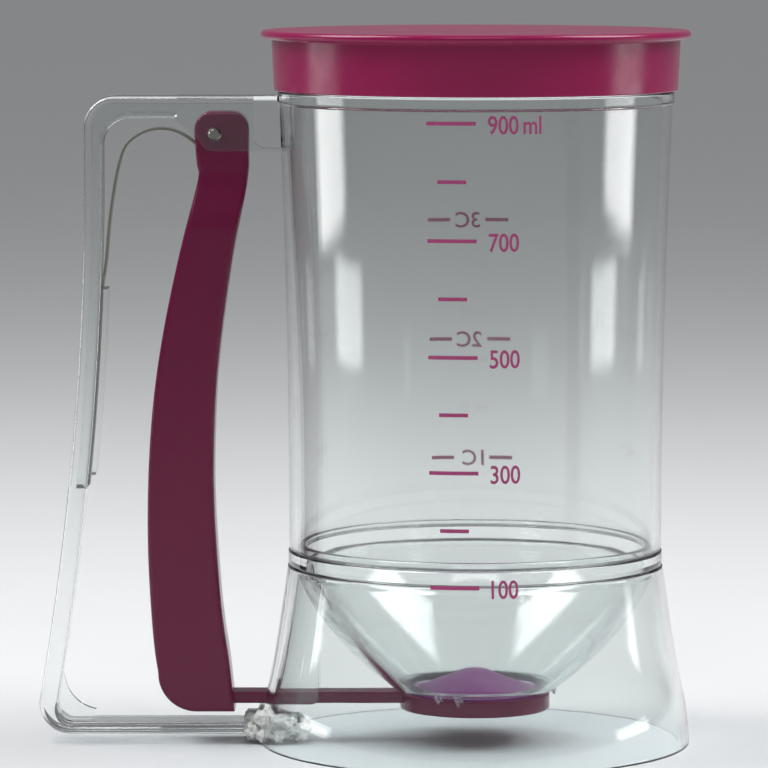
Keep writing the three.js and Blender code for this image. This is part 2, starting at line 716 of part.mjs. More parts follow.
/** The soft seal, with the dome that shows in the outlet. */
function makeSeal() {
  const low = discTop - SEAL_SINK + CLEARANCE;
  const face = discTop + SEAL_PROUD;
  const domeRadius = OUTLET_RADIUS - DOME_INSET;
  const dome = smooth(
    DOME_SHARES.map(([out, up]) => [domeRadius * out, face + DOME_HEIGHT * up]),
    CURVE_STEPS,
  );
  const seal = revolve([[0, low], [sealRadius, low], [sealRadius, face], ...dome]);
  return seal.translate([pivotReach, 0, 0]);
}

// Magenta lid, measured from its seat on the cup's shoulder

/** The lid: its flange with a rolled edge, its band and its locating ring. */
function makeLid() {
  const bandOuter = bandRadius + LID_PROUD;
  const bandInner = neckRadius + CLEARANCE;
  const plugOuter = shoulderRadius - CUP_WALL - CLEARANCE;
  const plugInner = plugOuter - PLUG_WALL;
  const plugLow = LID_SKIRT_HEIGHT - PLUG_DEPTH;
  const roll = LID_PLATE / 2;
  const flange = bandOuter + LID_TAPER + FLANGE_WIDTH;
  return revolve([
    [bandInner, 0],
    [bandOuter, 0],
    [bandOuter + LID_TAPER, LID_SKIRT_HEIGHT],
    ...arc(flange - roll, LID_SKIRT_HEIGHT + roll, roll, -90, 90),
    [0, LID_SKIRT_HEIGHT + LID_PLATE],
    [0, LID_SKIRT_HEIGHT],
    [plugInner, LID_SKIRT_HEIGHT],
    [plugInner, plugLow],
    [plugOuter, plugLow],
    [plugOuter, LID_SKIRT_HEIGHT],
    [bandInner, LID_SKIRT_HEIGHT],
  ]);
}

// The assembly

const body = new THREE.Group();
body.add(
  piece("cup", makeCup(), clearPlastic),
  piece("funnel", makeFunnel(), clearPlastic),
  piece("skirt", makeSkirt(), clearPlastic),
  piece("handle_frame", makeHandleFrame(), clearPlastic),
  piece("leaf_spring", makeSpring(), springSteel),
  piece("pivot_pin", makePin(), springSteel),
);

const trigger = new THREE.Group();
trigger.add(
  piece("squeeze_lever", makeLever(), magentaPlastic),
  piece("valve_arm", makeValveArm(), magentaPlastic),
  piece("valve_seal", makeSeal(), violetSilicone),
);
trigger.position.set(-pivotReach, 0, pivotHeight);

const cover = new THREE.Group();
cover.add(piece("lid", makeLid(), magentaPlastic));
cover.position.z = lidSeat;

const dispenser = new THREE.Group();
dispenser.add(body, trigger, cover);
dispenser.position.x = (uprightReach + FOOT_KICK - baseRadius) / 2;

export default dispenser;
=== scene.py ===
"""A squeeze-handled pancake batter dispenser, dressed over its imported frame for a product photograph."""

import logging
import math
from collections.abc import Iterable, Sequence
from dataclasses import dataclass
from enum import Enum

import bmesh
import bpy
from mathutils import Matrix, Vector, noise


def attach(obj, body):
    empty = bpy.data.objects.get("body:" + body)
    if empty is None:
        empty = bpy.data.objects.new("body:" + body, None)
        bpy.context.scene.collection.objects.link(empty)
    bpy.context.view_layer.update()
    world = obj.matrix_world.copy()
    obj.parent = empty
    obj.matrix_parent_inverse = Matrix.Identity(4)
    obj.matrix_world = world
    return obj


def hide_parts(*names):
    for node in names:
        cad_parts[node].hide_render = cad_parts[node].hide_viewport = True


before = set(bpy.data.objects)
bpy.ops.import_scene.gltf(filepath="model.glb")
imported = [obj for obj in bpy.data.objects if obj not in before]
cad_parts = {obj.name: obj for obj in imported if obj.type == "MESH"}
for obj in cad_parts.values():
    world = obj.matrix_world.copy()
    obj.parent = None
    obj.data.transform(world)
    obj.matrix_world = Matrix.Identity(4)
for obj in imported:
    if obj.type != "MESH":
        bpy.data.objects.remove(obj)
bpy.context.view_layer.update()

LOG = logging.getLogger("dispenser")

MM = 0.001
AXIS_X = 28.6  # mm, where the cup's axis stands in the frame; every mesh is built round that axis
CLEARANCE = 0.3  # mm, between faces that seat on each other
OVERRUN = 3.0  # mm, how far a cut runs past the face that it opens
ON_AXIS = 0.001  # mm, points of a turned outline nearer to its axis than this lie on it
FLAT_TURN = 0.05  # degrees, faces that turn less than this are parts of one flat face

Point = tuple[float, float]
Outline = list[Point]
Piece = bpy.types.Object
Material = bpy.types.Material
Tree = bpy.types.NodeTree
Socket = bpy.types.NodeSocket
Work = bmesh.types.BMesh


class Body(Enum):
    """The three bodies that pieces ride on."""

    FIXED = "body"
    TRIGGER = "trigger"
    LID = "lid"


class Slot(Enum):
    """The record's material slots."""

    CLEAR = "clear_plastic"
    MAGENTA = "magenta_plastic"
    VIOLET = "violet_silicone"
    STEEL = "spring_steel"


class Cut(Enum):
    """How one solid works on another."""

    JOIN = "UNION"
    REMOVE = "DIFFERENCE"
    KEEP = "INTERSECT"


# Plane geometry, in millimetres


def arc(x: float, z: float, radius: float, start: float, end: float, steps: int = 12) -> Outline:
    """Points of an arc.

    Args:
        x: Centre, across.
        z: Centre, up.
        radius: Its radius.
        start: First angle, degrees.
        end: Last angle, degrees.
        steps: How many chords it has.

    Returns:
        The points from start to end.
    """
    points = []
    for i in range(steps + 1):
        angle = math.radians(start + (end - start) * i / steps)
        points.append((x + radius * math.cos(angle), z + radius * math.sin(angle)))
    return points


def rectangle(left: float, low: float, right: float, high: float) -> Outline:
    """The four corners of a rectangle, anticlockwise."""
    return [(left, low), (right, low), (right, high), (left, high)]


def spline(knots: Sequence[Point], steps: int) -> Outline:
    """A smooth curve through points.

    Args:
        knots: The points that it passes.
        steps: How many chords it has.

    Returns:
        Points along the curve.
    """
    last = len(knots) - 1
    curve = []
    for i in range(steps + 1):
        place = last * i / steps
        k = min(int(place), last - 1)
        t = place - k
        before, after = knots[max(k - 1, 0)], knots[min(k + 2, last)]
        a, b = knots[k], knots[k + 1]
        curve.append(tuple(
            a[n]
            + t * (b[n] - before[n]) / 2
            + t**2 * (before[n] - 2.5 * a[n] + 2 * b[n] - after[n] / 2)
            + t**3 * (1.5 * (a[n] - b[n]) + (after[n] - before[n]) / 2)
            for n in (0, 1)
        ))
    return curve


def relaxed(line: Outline, passes: int) -> Outline:
    """A line of points whose bends are evened out, with its ends kept.

    Args:
        line: The points.
        passes: How often its bends are evened out.

    Returns:
        The eased points, as many as before.
    """
    for _ in range(passes):
        middle = [
            ((a[0] + 2 * b[0] + c[0]) / 4, (a[1] + 2 * b[1] + c[1]) / 4)
            for a, b, c in zip(line, line[1:], line[2:])
        ]
        line = [line[0], *middle, line[-1]]
    return line


def tangents(line: Sequence[Point]) -> list[Vector]:
    """The unit direction of a line of points at each of them.

    Args:
        line: The points.

    Returns:
        The directions.
    """
    ways = []
    for i in range(len(line)):
        ahead = Vector(line[min(i + 1, len(line) - 1)])
        ways.append((ahead - Vector(line[max(i - 1, 0)])).normalized())
    return ways


def beside(line: Sequence[Point], distance: float) -> Outline:
    """A line of points moved sideways.

    Args:
        line: The points.
        distance: How far to the line's left, mm.

    Returns:
        The moved points.
    """
    return [(p[0] - w.y * distance, p[1] + w.x * distance) for p, w in zip(line, tangents(line))]


def winding(outline: Outline) -> float:
    """Twice the area inside an outline, positive when it runs anticlockwise."""
    ahead = outline[1:] + outline[:1]
    return sum(a[0] * b[1] - b[0] * a[1] for a, b in zip(outline, ahead))


def tidied(outline: Iterable[Point], nearest: float = 0.01) -> Outline:
    """An outline run anticlockwise, without points that lie on their neighbour.

    Args:
        outline: The closed outline.
        nearest: Points nearer than this are one, mm.

    Returns:
        The clean outline.
    """
    kept: Outline = []
    for point in outline:
        if not kept or math.dist(point, kept[-1]) > nearest:
            kept.append(point)
    if math.dist(kept[0], kept[-1]) <= nearest:
        kept.pop()
    return kept if winding(kept) > 0 else kept[::-1]


def inset(outline: Outline, distance: float, sharpest: float = 0.35) -> Outline:
    """An anticlockwise outline drawn in.

    Args:
        outline: The closed outline.
        distance: How far in, mm.
        sharpest: Keeps the point of a sharp corner from running far off.

    Returns:
        The moved points, as many as before.
    """
    count = len(outline)
    moved = []
    for i, point in enumerate(outline):
        into = (Vector(point) - Vector(outline[i - 1])).normalized()
        out = (Vector(outline[(i + 1) % count]) - Vector(point)).normalized()
        left, right = Vector((-into.y, into.x)), Vector((-out.y, out.x))
        shift = (left + right) / max(1 + left.dot(right), sharpest)
        moved.append((point[0] + shift.x * distance, point[1] + shift.y * distance))
    for i in range(count):  # a stretch that would turn over in a tight bend shrinks to a point
        k = (i + 1) % count
        (ax, az), (bx, bz) = moved[i], moved[k]
        if (bx - ax) * (outline[k][0] - outline[i][0]) + (bz - az) * (outline[k][1] - outline[i][1]) < 0:
            moved[i] = moved[k] = ((ax + bx) / 2, (az + bz) / 2)
    return moved


def curved(start: Vector, pull: Vector, end: Vector, t: float) -> Vector:
    """The place at a share t of the curve whose end tangents meet at pull."""
    return start * (1 - t) ** 2 + pull * 2 * t * (1 - t) + end * t**2


def softened(outline: Outline, radius: float, steps: int = 3, least_turn: float = 24) -> Outline:
    """A closed outline with its corners rounded, as a mould's are.

    Args:
        outline: The closed outline.
        radius: Fillet radius, mm.
        steps: Chords in each fillet.
        least_turn: Corners that turn less than this many degrees stay.

    Returns:
        The outline, with a point just past each fillet so that flat faces shade flat.
    """
    most = 0.42  # of a side, what one fillet may take
    long_side, past = 4, 0.5  # in fillet lengths: a side that gets a point past its fillet, and how far past
    clean = tidied(outline)
    result: Outline = []
    for i, point in enumerate(clean):
        here, before, after = Vector(point), Vector(clean[i - 1]), Vector(clean[(i + 1) % len(clean)])
        into, out = here - before, after - here
        turn = math.degrees(into.angle(out))
        if turn < least_turn or here.x < ON_AXIS:
            result.append(point)
            continue
        reach = min(radius * math.tan(math.radians(turn / 2)), most * into.length, most * out.length)
        start, end = here - into.normalized() * reach, here + out.normalized() * reach
        if into.length > long_side * reach:
            result.append(tuple(start - into.normalized() * reach * past))
        result += [tuple(curved(start, here, end, k / steps)) for k in range(steps + 1)]
        if out.length > long_side * reach:
            result.append(tuple(end + out.normalized() * reach * past))
    return result


def crossing(line: Sequence[Point], height: float) -> float:
    """Where a line of points that runs up or down crosses a height.

    Args:
        line: The points.
        height: The height, mm.

    Returns:
        How far across the crossing is, mm.
    """
    for a, b in zip(line, line[1:]):
        if (a[1] - height) * (b[1] - height) <= 0:
            return a[0] + (b[0] - a[0]) * (height - a[1]) / (b[1] - a[1])
    raise ValueError(f"the line doesn't cross {height} mm")


# Solids, in millimetres round the cup's axis


def linked(name: str, work: Work) -> Piece:
    """Puts a working mesh, which is used up, in the scene as an object.

    Args:
        name: The object's name.
        work: The working mesh.

    Returns:
        The object.
    """
    mesh = bpy.data.meshes.new(name)
    work.to_mesh(mesh)
    work.free()
    made = bpy.data.objects.new(name, mesh)
    bpy.context.scene.collection.objects.link(made)
    return made


def solid(name: str, points: Sequence[Sequence[float]], faces: Sequence[Sequence[int]]) -> Piece:
    """A mesh object from points and faces, its faces turned outwards.

    Args:
        name: The object's name.
        points: Places, mm.
        faces: Point numbers of each face.

    Returns:
        The linked object.
    """
    mesh = bpy.data.meshes.new(name)
    mesh.from_pydata(points, [], faces)
    work = bmesh.new()
    work.from_mesh(mesh)
    bpy.data.meshes.remove(mesh)
    bmesh.ops.recalc_face_normals(work, faces=work.faces[:])
    return linked(name, work)


def turned(name: str, outline: Outline, segments: int = 192) -> Piece:
    """A closed (radius, height) outline turned round the upright axis.

    Args:
        name: The object's name.
        outline: The closed section.
        segments: Facets round it.

    Returns:
        The solid.
    """
    points: list[Sequence[float]] = []
    rings: list[list[int]] = []
    for radius, height in tidied(outline):
        count = 1 if radius < ON_AXIS else segments
        rings.append(list(range(len(points), len(points) + count)))
        for i in range(count):
            angle = math.tau * i / segments
            points.append((radius * math.cos(angle), radius * math.sin(angle), height))
    faces = []
    for low, high in zip(rings, rings[1:] + rings[:1]):
        for i in range(segments):
            k = (i + 1) % segments
            corners = [low[i % len(low)], low[k % len(low)], high[k % len(high)], high[i % len(high)]]
            face = list(dict.fromkeys(corners))
            if len(face) > 2:
                faces.append(face)
    return solid(name, points, faces)


def stacked(name: str, rings: Sequence[Sequence[Sequence[float]]]) -> Piece:
    """A closed solid through rings of equally many points, capped at both ends.

    Args:
        name: The object's name.
        rings: The points of each ring, mm.

    Returns:
        The solid.
    """
    count = len(rings[0])
    points = [p for ring in rings for p in ring]
    faces: list[list[int]] = [list(range(count)), list(range(len(points) - count, len(points)))]
    for r in range(len(rings) - 1):
        for i in range(count):
            k = (i + 1) % count
            faces.append([r * count + i, r * count + k, (r + 1) * count + k, (r + 1) * count + i])
    return solid(name, points, faces)


def slab(name: str, outline: Outline, width: float, round_over: float = 0, steps: int = 4) -> Piece:
    """An (x, z) outline as thick as width across the handle's plane.

    Args:
        name: The object's name.
        outline: The closed outline.
        width: Its thickness along Y.
        round_over: Radius of its long edges.
        steps: Chords in each rounded edge.

    Returns:
        The solid.
    """
    clean = tidied(outline)
    turns = [math.pi / 2 * k / steps for k in range(steps + 1)] if round_over else [math.pi / 2]
    levels = [(round_over * (1 - math.cos(a)), width / 2 - round_over * (1 - math.sin(a))) for a in turns]
    levels = [(i, -y) for i, y in reversed(levels)] + levels
    return stacked(name, [[(x, y, z) for x, z in inset(clean, i)] for i, y in levels])


def bar(name: str, outline: Outline, from_x: float, to_x: float) -> Piece:
    """A (y, z) outline that runs along X."""
    clean = tidied(outline)
    return stacked(name, [[(x, y, z) for y, z in clean] for x in (from_x, to_x)])


def rod(name: str, x: float, z: float, ends: Sequence[Point], segments: int = 48) -> Piece:
    """A round rod across the handle's plane.

    Args:
        name: The object's name.
        x: Its axis, across.
        z: Its axis, up.
        ends: (y, radius) from one end to the other.
        segments: Facets round it.

    Returns:
        The solid.
    """
    angles = [math.tau * i / segments for i in range(segments)]
    return stacked(name, [[(x + r * math.cos(a), y, z + r * math.sin(a)) for a in angles] for y, r in ends])


def settle(piece: Piece) -> Piece:
    """Turns a piece's modifiers into its mesh.

    Args:
        piece: The piece.

    Returns:
        The same piece.
    """
    graph = bpy.context.evaluated_depsgraph_get()
    mesh = bpy.data.meshes.new_from_object(piece.evaluated_get(graph))
    piece.modifiers.clear()
    piece.data = mesh
    return piece


def worked(piece: Piece, tool: Piece, cut: Cut) -> Piece:
    """Joins a tool solid to a piece or cuts the piece with it.

    Args:
        piece: The solid that changes.
        tool: The other solid, which is used up.
        cut: How it works.

    Returns:
        The changed piece.
    """
    step = piece.modifiers.new(cut.name, "BOOLEAN")
    step.operation = cut.value
    step.solver = "MANIFOLD"
    step.object = tool
    settle(piece)
    bpy.data.objects.remove(tool)
    return piece


def paired(piece: Piece, side: float) -> Piece:
    """Moves a solid and its twin to both sides of the handle's plane.

    Args:
        piece: The solid, which is used up.
        side: How far each of the two moves, mm.

    Returns:
        The two as one solid.
    """
    twin = piece.copy()
    twin.data = piece.data.copy()
    bpy.context.scene.collection.objects.link(twin)
    piece.data.transform(Matrix.Translation((0, side, 0)))
    twin.data.transform(Matrix.Translation((0, -side, 0)))
    return worked(piece, twin, Cut.JOIN)


def waisted(piece: Piece, low: float, high: float, share: float, steps: int = 14) -> Piece:
    """Narrows the upper part of a piece across the handle's plane, with a soft shoulder.

    Args:
        piece: The solid, in mm.
        low: Where the shoulder starts.
        high: Where the shoulder ends.
        share: How much of the width is kept above the shoulder.
        steps: Bands of faces in the shoulder.

    Returns:
        The changed piece.
    """
    on_plane, one_point = 1e-4, 0.02  # mm, how near counts as on a band's edge, and as one point
    work = bmesh.new()
    work.from_mesh(piece.data)
    for i in range(steps + 1):
        bmesh.ops.bisect_plane(
            work, geom=work.verts[:] + work.edges[:] + work.faces[:], dist=on_plane,
            plane_co=(0, 0, low + (high - low) * i / steps), plane_no=(0, 0, 1),
        )
    bmesh.ops.remove_doubles(work, verts=work.verts[:], dist=one_point)
    for vertex in work.verts:
        up = min(1.0, max(0.0, (vertex.co.z - low) / (high - low)))
        vertex.co.y *= 1 - (1 - share) * up * up * (3 - 2 * up)
    work.to_mesh(piece.data)
    work.free()
    return piece


def moulded(piece: Piece, voxel: float, passes: int) -> Piece:
    """Gives a piece one even skin with the small radii of a moulding.

    Args:
        piece: The solid, in mm.
        voxel: Size of the skin's faces, mm.
        passes: How often it is smoothed.

    Returns:
        The changed piece.
    """
    skin = piece.modifiers.new("skin", "REMESH")
    skin.mode = "VOXEL"
    skin.voxel_size = voxel
    ease = piece.modifiers.new("ease", "SMOOTH")
    ease.factor = 0.5
    ease.iterations = passes
    return settle(piece)


def shaded(piece: Piece, crease: float) -> Piece:
    """Smooth shading that stays sharp where faces meet at more than crease degrees, and flat on large faces.

    Args:
        piece: The solid.
        crease: Edges sharper than this many degrees stay sharp.

    Returns:
        The shaded piece, the slivers of each flat face run together.
    """
    work = bmesh.new()
    work.from_mesh(piece.data)
    bmesh.ops.dissolve_limit(
        work, angle_limit=math.radians(FLAT_TURN), verts=work.verts[:], edges=work.edges[:]
    )
    work.to_mesh(piece.data)
    work.free()
    piece.data.shade_smooth()
    piece.data.set_sharp_from_angle(angle=math.radians(crease))
    weigh = piece.modifiers.new("weigh", "WEIGHTED_NORMAL")
    weigh.keep_sharp = True
    return settle(piece)


def lumps(name: str, balls: Sequence[Sequence[float]], voxel: float, rough: float) -> Piece:
    """Melted-looking lumps run together.

    Args:
        name: The object's name.
        balls: (x, y, z, radius) of each lump, mm.
        voxel: Size of the skin's faces, mm.
        rough: How far its surface is pushed in and out, mm.

    Returns:
        The solid.
    """
    stretch, falloff, finer, layers = 0.9, 0.7, 2.1, 3  # of the noise that pushes it
    work = bmesh.new()
    for x, y, z, radius in balls:
        bmesh.ops.create_icosphere(work, subdivisions=3, radius=radius, matrix=Matrix.Translation((x, y, z)))
    made = moulded(linked(name, work), voxel, 2)
    for vertex in made.data.vertices:
        push = noise.fractal(vertex.co * stretch, falloff, finer, layers)
        vertex.co += vertex.normal * push * rough
    return made


# Materials


def linear(colour: str, alpha: float = 1) -> tuple[float, float, float, float]:
    """An sRGB hex colour as linear red, green, blue and alpha.

    Args:
        colour: A hash and six hex digits.
        alpha: Its opacity.

    Returns:
        The four shares.
    """
    shares = [int(colour[i:i + 2], 16) / 255 for i in (1, 3, 5)]
    red, green, blue = (s / 12.92 if s <= 0.04045 else ((s + 0.055) / 1.055) ** 2.4 for s in shares)
    return red, green, blue, alpha


def add_node(
    tree: Tree, kind: str, inputs: dict[str | int, object] | None = None, **settings: object
) -> bpy.types.Node:
    """Adds a node to a tree.

    Args:
        tree: The node tree.
        kind: The node's type.
        inputs: A value or another node's output for each named or numbered input.
        **settings: The node's own settings.

    Returns:
        The new node.
    """
    node = tree.nodes.new(kind)
    for key, value in settings.items():
        setattr(node, key, value)
    for key, value in (inputs or {}).items():
        if isinstance(value, Socket):
            tree.links.new(value, node.inputs[key])
        else:
            node.inputs[key].default_value = value
    return node


def cloudy(tree: Tree, place: Socket, size: float, detail: float) -> Socket:
    """Soft noise from 0 to 1.

    Args:
        tree: The node tree.
        place: Coordinates, metres.
        size: How wide one patch is, mm.
        detail: How many finer layers it has.

    Returns:
        The noise.
    """
    inputs = {"Vector": place, "Scale": 1 / (size * MM), "Detail": detail}
    return add_node(tree, "ShaderNodeTexNoise", inputs).outputs["Fac"]


def spread(tree: Tree, value: Socket, taken: Point, given: Point) -> Socket:
    """A value whose range between the two taken becomes the range between the two given."""
    inputs = {"Value": value, 1: taken[0], 2: taken[1], 3: given[0], 4: given[1]}
    return add_node(tree, "ShaderNodeMapRange", inputs).outputs["Result"]


def blend(tree: Tree, share: Socket, first: str, second: str) -> Socket:
    """A colour between two sRGB hex colours."""
    inputs = {0: share, 6: linear(first), 7: linear(second)}
    return add_node(tree, "ShaderNodeMix", inputs, data_type="RGBA").outputs[2]


def relief(tree: Tree, height: Socket, depth: float, strength: float = 1) -> Socket:
    """The surface's normal where heights from 0 to 1 stand for a depth in mm."""
    inputs = {"Height": height, "Strength": strength, "Distance": depth * MM}
    return add_node(tree, "ShaderNodeBump", inputs).outputs["Normal"]


@dataclass(frozen=True)
class Finish:
    """What a surface is made of."""

    name: str

    def material(self) -> Material:
        """The finished material.

        Returns:
            The material.
        """
        made = bpy.data.materials.new(self.name)
        made.use_nodes = True
        tree = made.node_tree
        tree.nodes.clear()
        place = add_node(tree, "ShaderNodeTexCoord").outputs["Object"]
        add_node(tree, "ShaderNodeOutputMaterial", {"Surface": self.surface(tree, place)})
        return made

    def surface(self, tree: Tree, place: Socket) -> Socket:
        """The shader that the surface shows, its patterns laid by coordinates in metres.

        Args:
            tree: The node tree.
            place: Coordinates, metres.

        Returns:
            The shader's output.
        """
        raise NotImplementedError


@dataclass(frozen=True)
class ClearStyrene(Finish):
    """Clear styrene-acrylonitrile, injection moulded in a polished tool.

    The eye gets bright glass-like reflections, dark rims where thick edges bend the room, a very slight
    waviness from the melt's flow, and the faintest haze.
    """

    tint: str = "#F7FAF9"
    shadow: str = "#DDE1E2"  # what one wall leaves of a lamp's light
    ior: float = 1.57
    haze_mm: float = 16
    haze_span: Point = (0.35, 0.7)
    gloss: Point = (0.015, 0.05)
    wave_mm: float = 11
    wave_depth_mm: float = 0.012

    def surface(self, tree: Tree, place: Socket) -> Socket:
        """The shader that the surface shows.

        Args:
            tree: The node tree.
            place: Coordinates, metres.

        Returns:
            The shader's output.
        """
        haze = cloudy(tree, place, self.haze_mm, detail=3)
        clear = add_node(tree, "ShaderNodeBsdfPrincipled", {
            "Base Color": linear(self.tint),
            "Transmission Weight": 1,
            "IOR": self.ior,
            "Roughness": spread(tree, haze, self.haze_span, self.gloss),
            "Normal": relief(tree, cloudy(tree, place, self.wave_mm, detail=1), self.wave_depth_mm),
        })
        lamp_light = add_node(tree, "ShaderNodeBsdfTransparent", {"Color": linear(self.shadow)})
        in_shadow = add_node(tree, "ShaderNodeLightPath").outputs["Is Shadow Ray"]
        shares = {0: in_shadow, 1: clear.outputs[0], 2: lamp_light.outputs[0]}
        return add_node(tree, "ShaderNodeMixShader", shares).outputs[0]


@dataclass(frozen=True)
class SolventWeld(Finish):
    """Styrene melted and crazed by solvent where two clear mouldings are stuck together.

    The eye gets a milky, frosted lump that catches light, with glassy spots.
    """

    tint: str = "#F8F8F5"
    ior: float = 1.5
    clearness: float = 0.15
    grain_mm: float = 0.9
    grain_span: Point = (0.35, 0.65)
    grain_depth_mm: float = 0.15
    gloss: Point = (0.2, 0.7)

    def surface(self, tree: Tree, place: Socket) -> Socket:
        """The shader that the surface shows.

        Args:
            tree: The node tree.
            place: Coordinates, metres.

        Returns:
            The shader's output.
        """
        craze = cloudy(tree, place, self.grain_mm, detail=5)
        return add_node(tree, "ShaderNodeBsdfPrincipled", {
            "Base Color": linear(self.tint),
            "Transmission Weight": self.clearness,
            "IOR": self.ior,
            "Roughness": spread(tree, craze, self.grain_span, self.gloss),
            "Normal": relief(tree, craze, self.grain_depth_mm),
        }).outputs[0]


@dataclass(frozen=True)
class MagentaStyrene(Finish):
    """High-impact styrene, moulded through in dark magenta in a finely blasted tool.

    The eye gets a deep even colour, broad soft-edged reflections and a faint grain in them.
    """

    colour: str = "#8C0D4A"
    deep: str = "#7C0A40"
    flow_mm: float = 24
    rub_mm: float = 7
    rub_span: Point = (0.3, 0.7)
    gloss: Point = (0.17, 0.25)
    ior: float = 1.5
    shine: float = 0.36
    grain_mm: float = 0.5  # the real blast is about 0.1 mm, drawn coarser so that it shows
    grain_depth_mm: float = 0.02
    grain_strength: float = 0.35

    def surface(self, tree: Tree, place: Socket) -> Socket:
        """The shader that the surface shows.

        Args:
            tree: The node tree.
            place: Coordinates, metres.

        Returns:
            The shader's output.
        """
        grain = cloudy(tree, place, self.grain_mm, detail=2)
        return add_node(tree, "ShaderNodeBsdfPrincipled", {
            "Base Color": blend(tree, cloudy(tree, place, self.flow_mm, detail=2), self.deep, self.colour),
            "Roughness": spread(tree, cloudy(tree, place, self.rub_mm, detail=4), self.rub_span, self.gloss),
            "IOR": self.ior,
            "Specular IOR Level": self.shine,
            "Normal": relief(tree, grain, self.grain_depth_mm, self.grain_strength),
        }).outputs[0]


@dataclass(frozen=True)
class VioletSilicone(Finish):
    """Silicone rubber, press moulded in violet.

    The eye gets a soft, slightly dusty surface with a weak sheen and no sharp reflection.
    """

    colour: str = "#6E0E68"
    dusty: str = "#782276"
    dust_mm: float = 3
    dust_span: Point = (0.5, 0.75)
    dust_cover: Point = (0, 0.5)
    rough: float = 0.48
    ior: float = 1.41
    sheen: float = 0.12
    sheen_rough: float = 0.4
    grain_mm: float = 0.7
    grain_depth_mm: float = 0.03
    grain_strength: float = 0.4

    def surface(self, tree: Tree, place: Socket) -> Socket:
        """The shader that the surface shows.

        Args:
            tree: The node tree.
            place: Coordinates, metres.

        Returns:
            The shader's output.
        """
        dust = spread(tree, cloudy(tree, place, self.dust_mm, detail=5), self.dust_span, self.dust_cover)
        grain = cloudy(tree, place, self.grain_mm, detail=2)
        return add_node(tree, "ShaderNodeBsdfPrincipled", {
            "Base Color": blend(tree, dust, self.colour, self.dusty),
            "Roughness": self.rough,
            "IOR": self.ior,
            "Sheen Weight": self.sheen,
            "Sheen Roughness": self.sheen_rough,
            "Normal": relief(tree, grain, self.grain_depth_mm, self.grain_strength),
        }).outputs[0]


@dataclass(frozen=True)
class RolledSteel(Finish):
    """Hard spring steel, rolled to strip or drawn to wire.

    The eye gets a grey metal with reflections drawn out along the rolling lines.
    """

    colour: str = "#A3A39B"
    dull: str = "#77776F"
    line_mm: float = 0.35
    line_stretch: tuple[float, float, float] = (0.03, 1, 0.03)
    line_span: Point = (0.3, 0.7)
    gloss: Point = (0.22, 0.42)

    def surface(self, tree: Tree, place: Socket) -> Socket:
        """The shader that the surface shows.

        Args:
            tree: The node tree.
            place: Coordinates, metres.

        Returns:
            The shader's output.
        """
        along = add_node(tree, "ShaderNodeMapping", {"Vector": place, "Scale": self.line_stretch})
        lines = cloudy(tree, along.outputs[0], self.line_mm, detail=3)
        return add_node(tree, "ShaderNodeBsdfPrincipled", {
            "Base Color": blend(tree, lines, self.colour, self.dull),
            "Metallic": 1,
            "Roughness": spread(tree, lines, self.line_span, self.gloss),
        }).outputs[0]


@dataclass(frozen=True)
class PadInk(Finish):
    """Two-part ink, pad printed on the clear wall.

    The eye gets a thin magenta film, nearly matt, a little uneven in its cover.
    """

    colour: str = "#94245F"
    thin: str = "#A8487A"
    patch_mm: float = 1.2
    rough: float = 0.5
    ior: float = 1.5

    def surface(self, tree: Tree, place: Socket) -> Socket:
        """The shader that the surface shows.

        Args:
            tree: The node tree.
            place: Coordinates, metres.

        Returns:
            The shader's output.
        """
        return add_node(tree, "ShaderNodeBsdfPrincipled", {
            "Base Color": blend(tree, cloudy(tree, place, self.patch_mm, detail=4), self.colour, self.thin),
            "Roughness": self.rough,
            "IOR": self.ior,
        }).outputs[0]


@dataclass(frozen=True)
class StudioPaper(Finish):
    """Seamless studio background paper.

    The eye gets a plain pale matt ground with an almost unseen mottle.
    """

    colour: str = "#CFD0D2"
    mottle: str = "#CBCCCE"
    mottle_mm: float = 60
    rough: float = 0.7
    shine: float = 0.25

    def surface(self, tree: Tree, place: Socket) -> Socket:
        """The shader that the surface shows.

        Args:
            tree: The node tree.
            place: Coordinates, metres.

        Returns:
            The shader's output.
        """
        fibres = cloudy(tree, place, self.mottle_mm, detail=4)
        return add_node(tree, "ShaderNodeBsdfPrincipled", {
            "Base Color": blend(tree, fibres, self.colour, self.mottle),
            "Roughness": self.rough,
            "Specular IOR Level": self.shine,
        }).outputs[0]


# The object


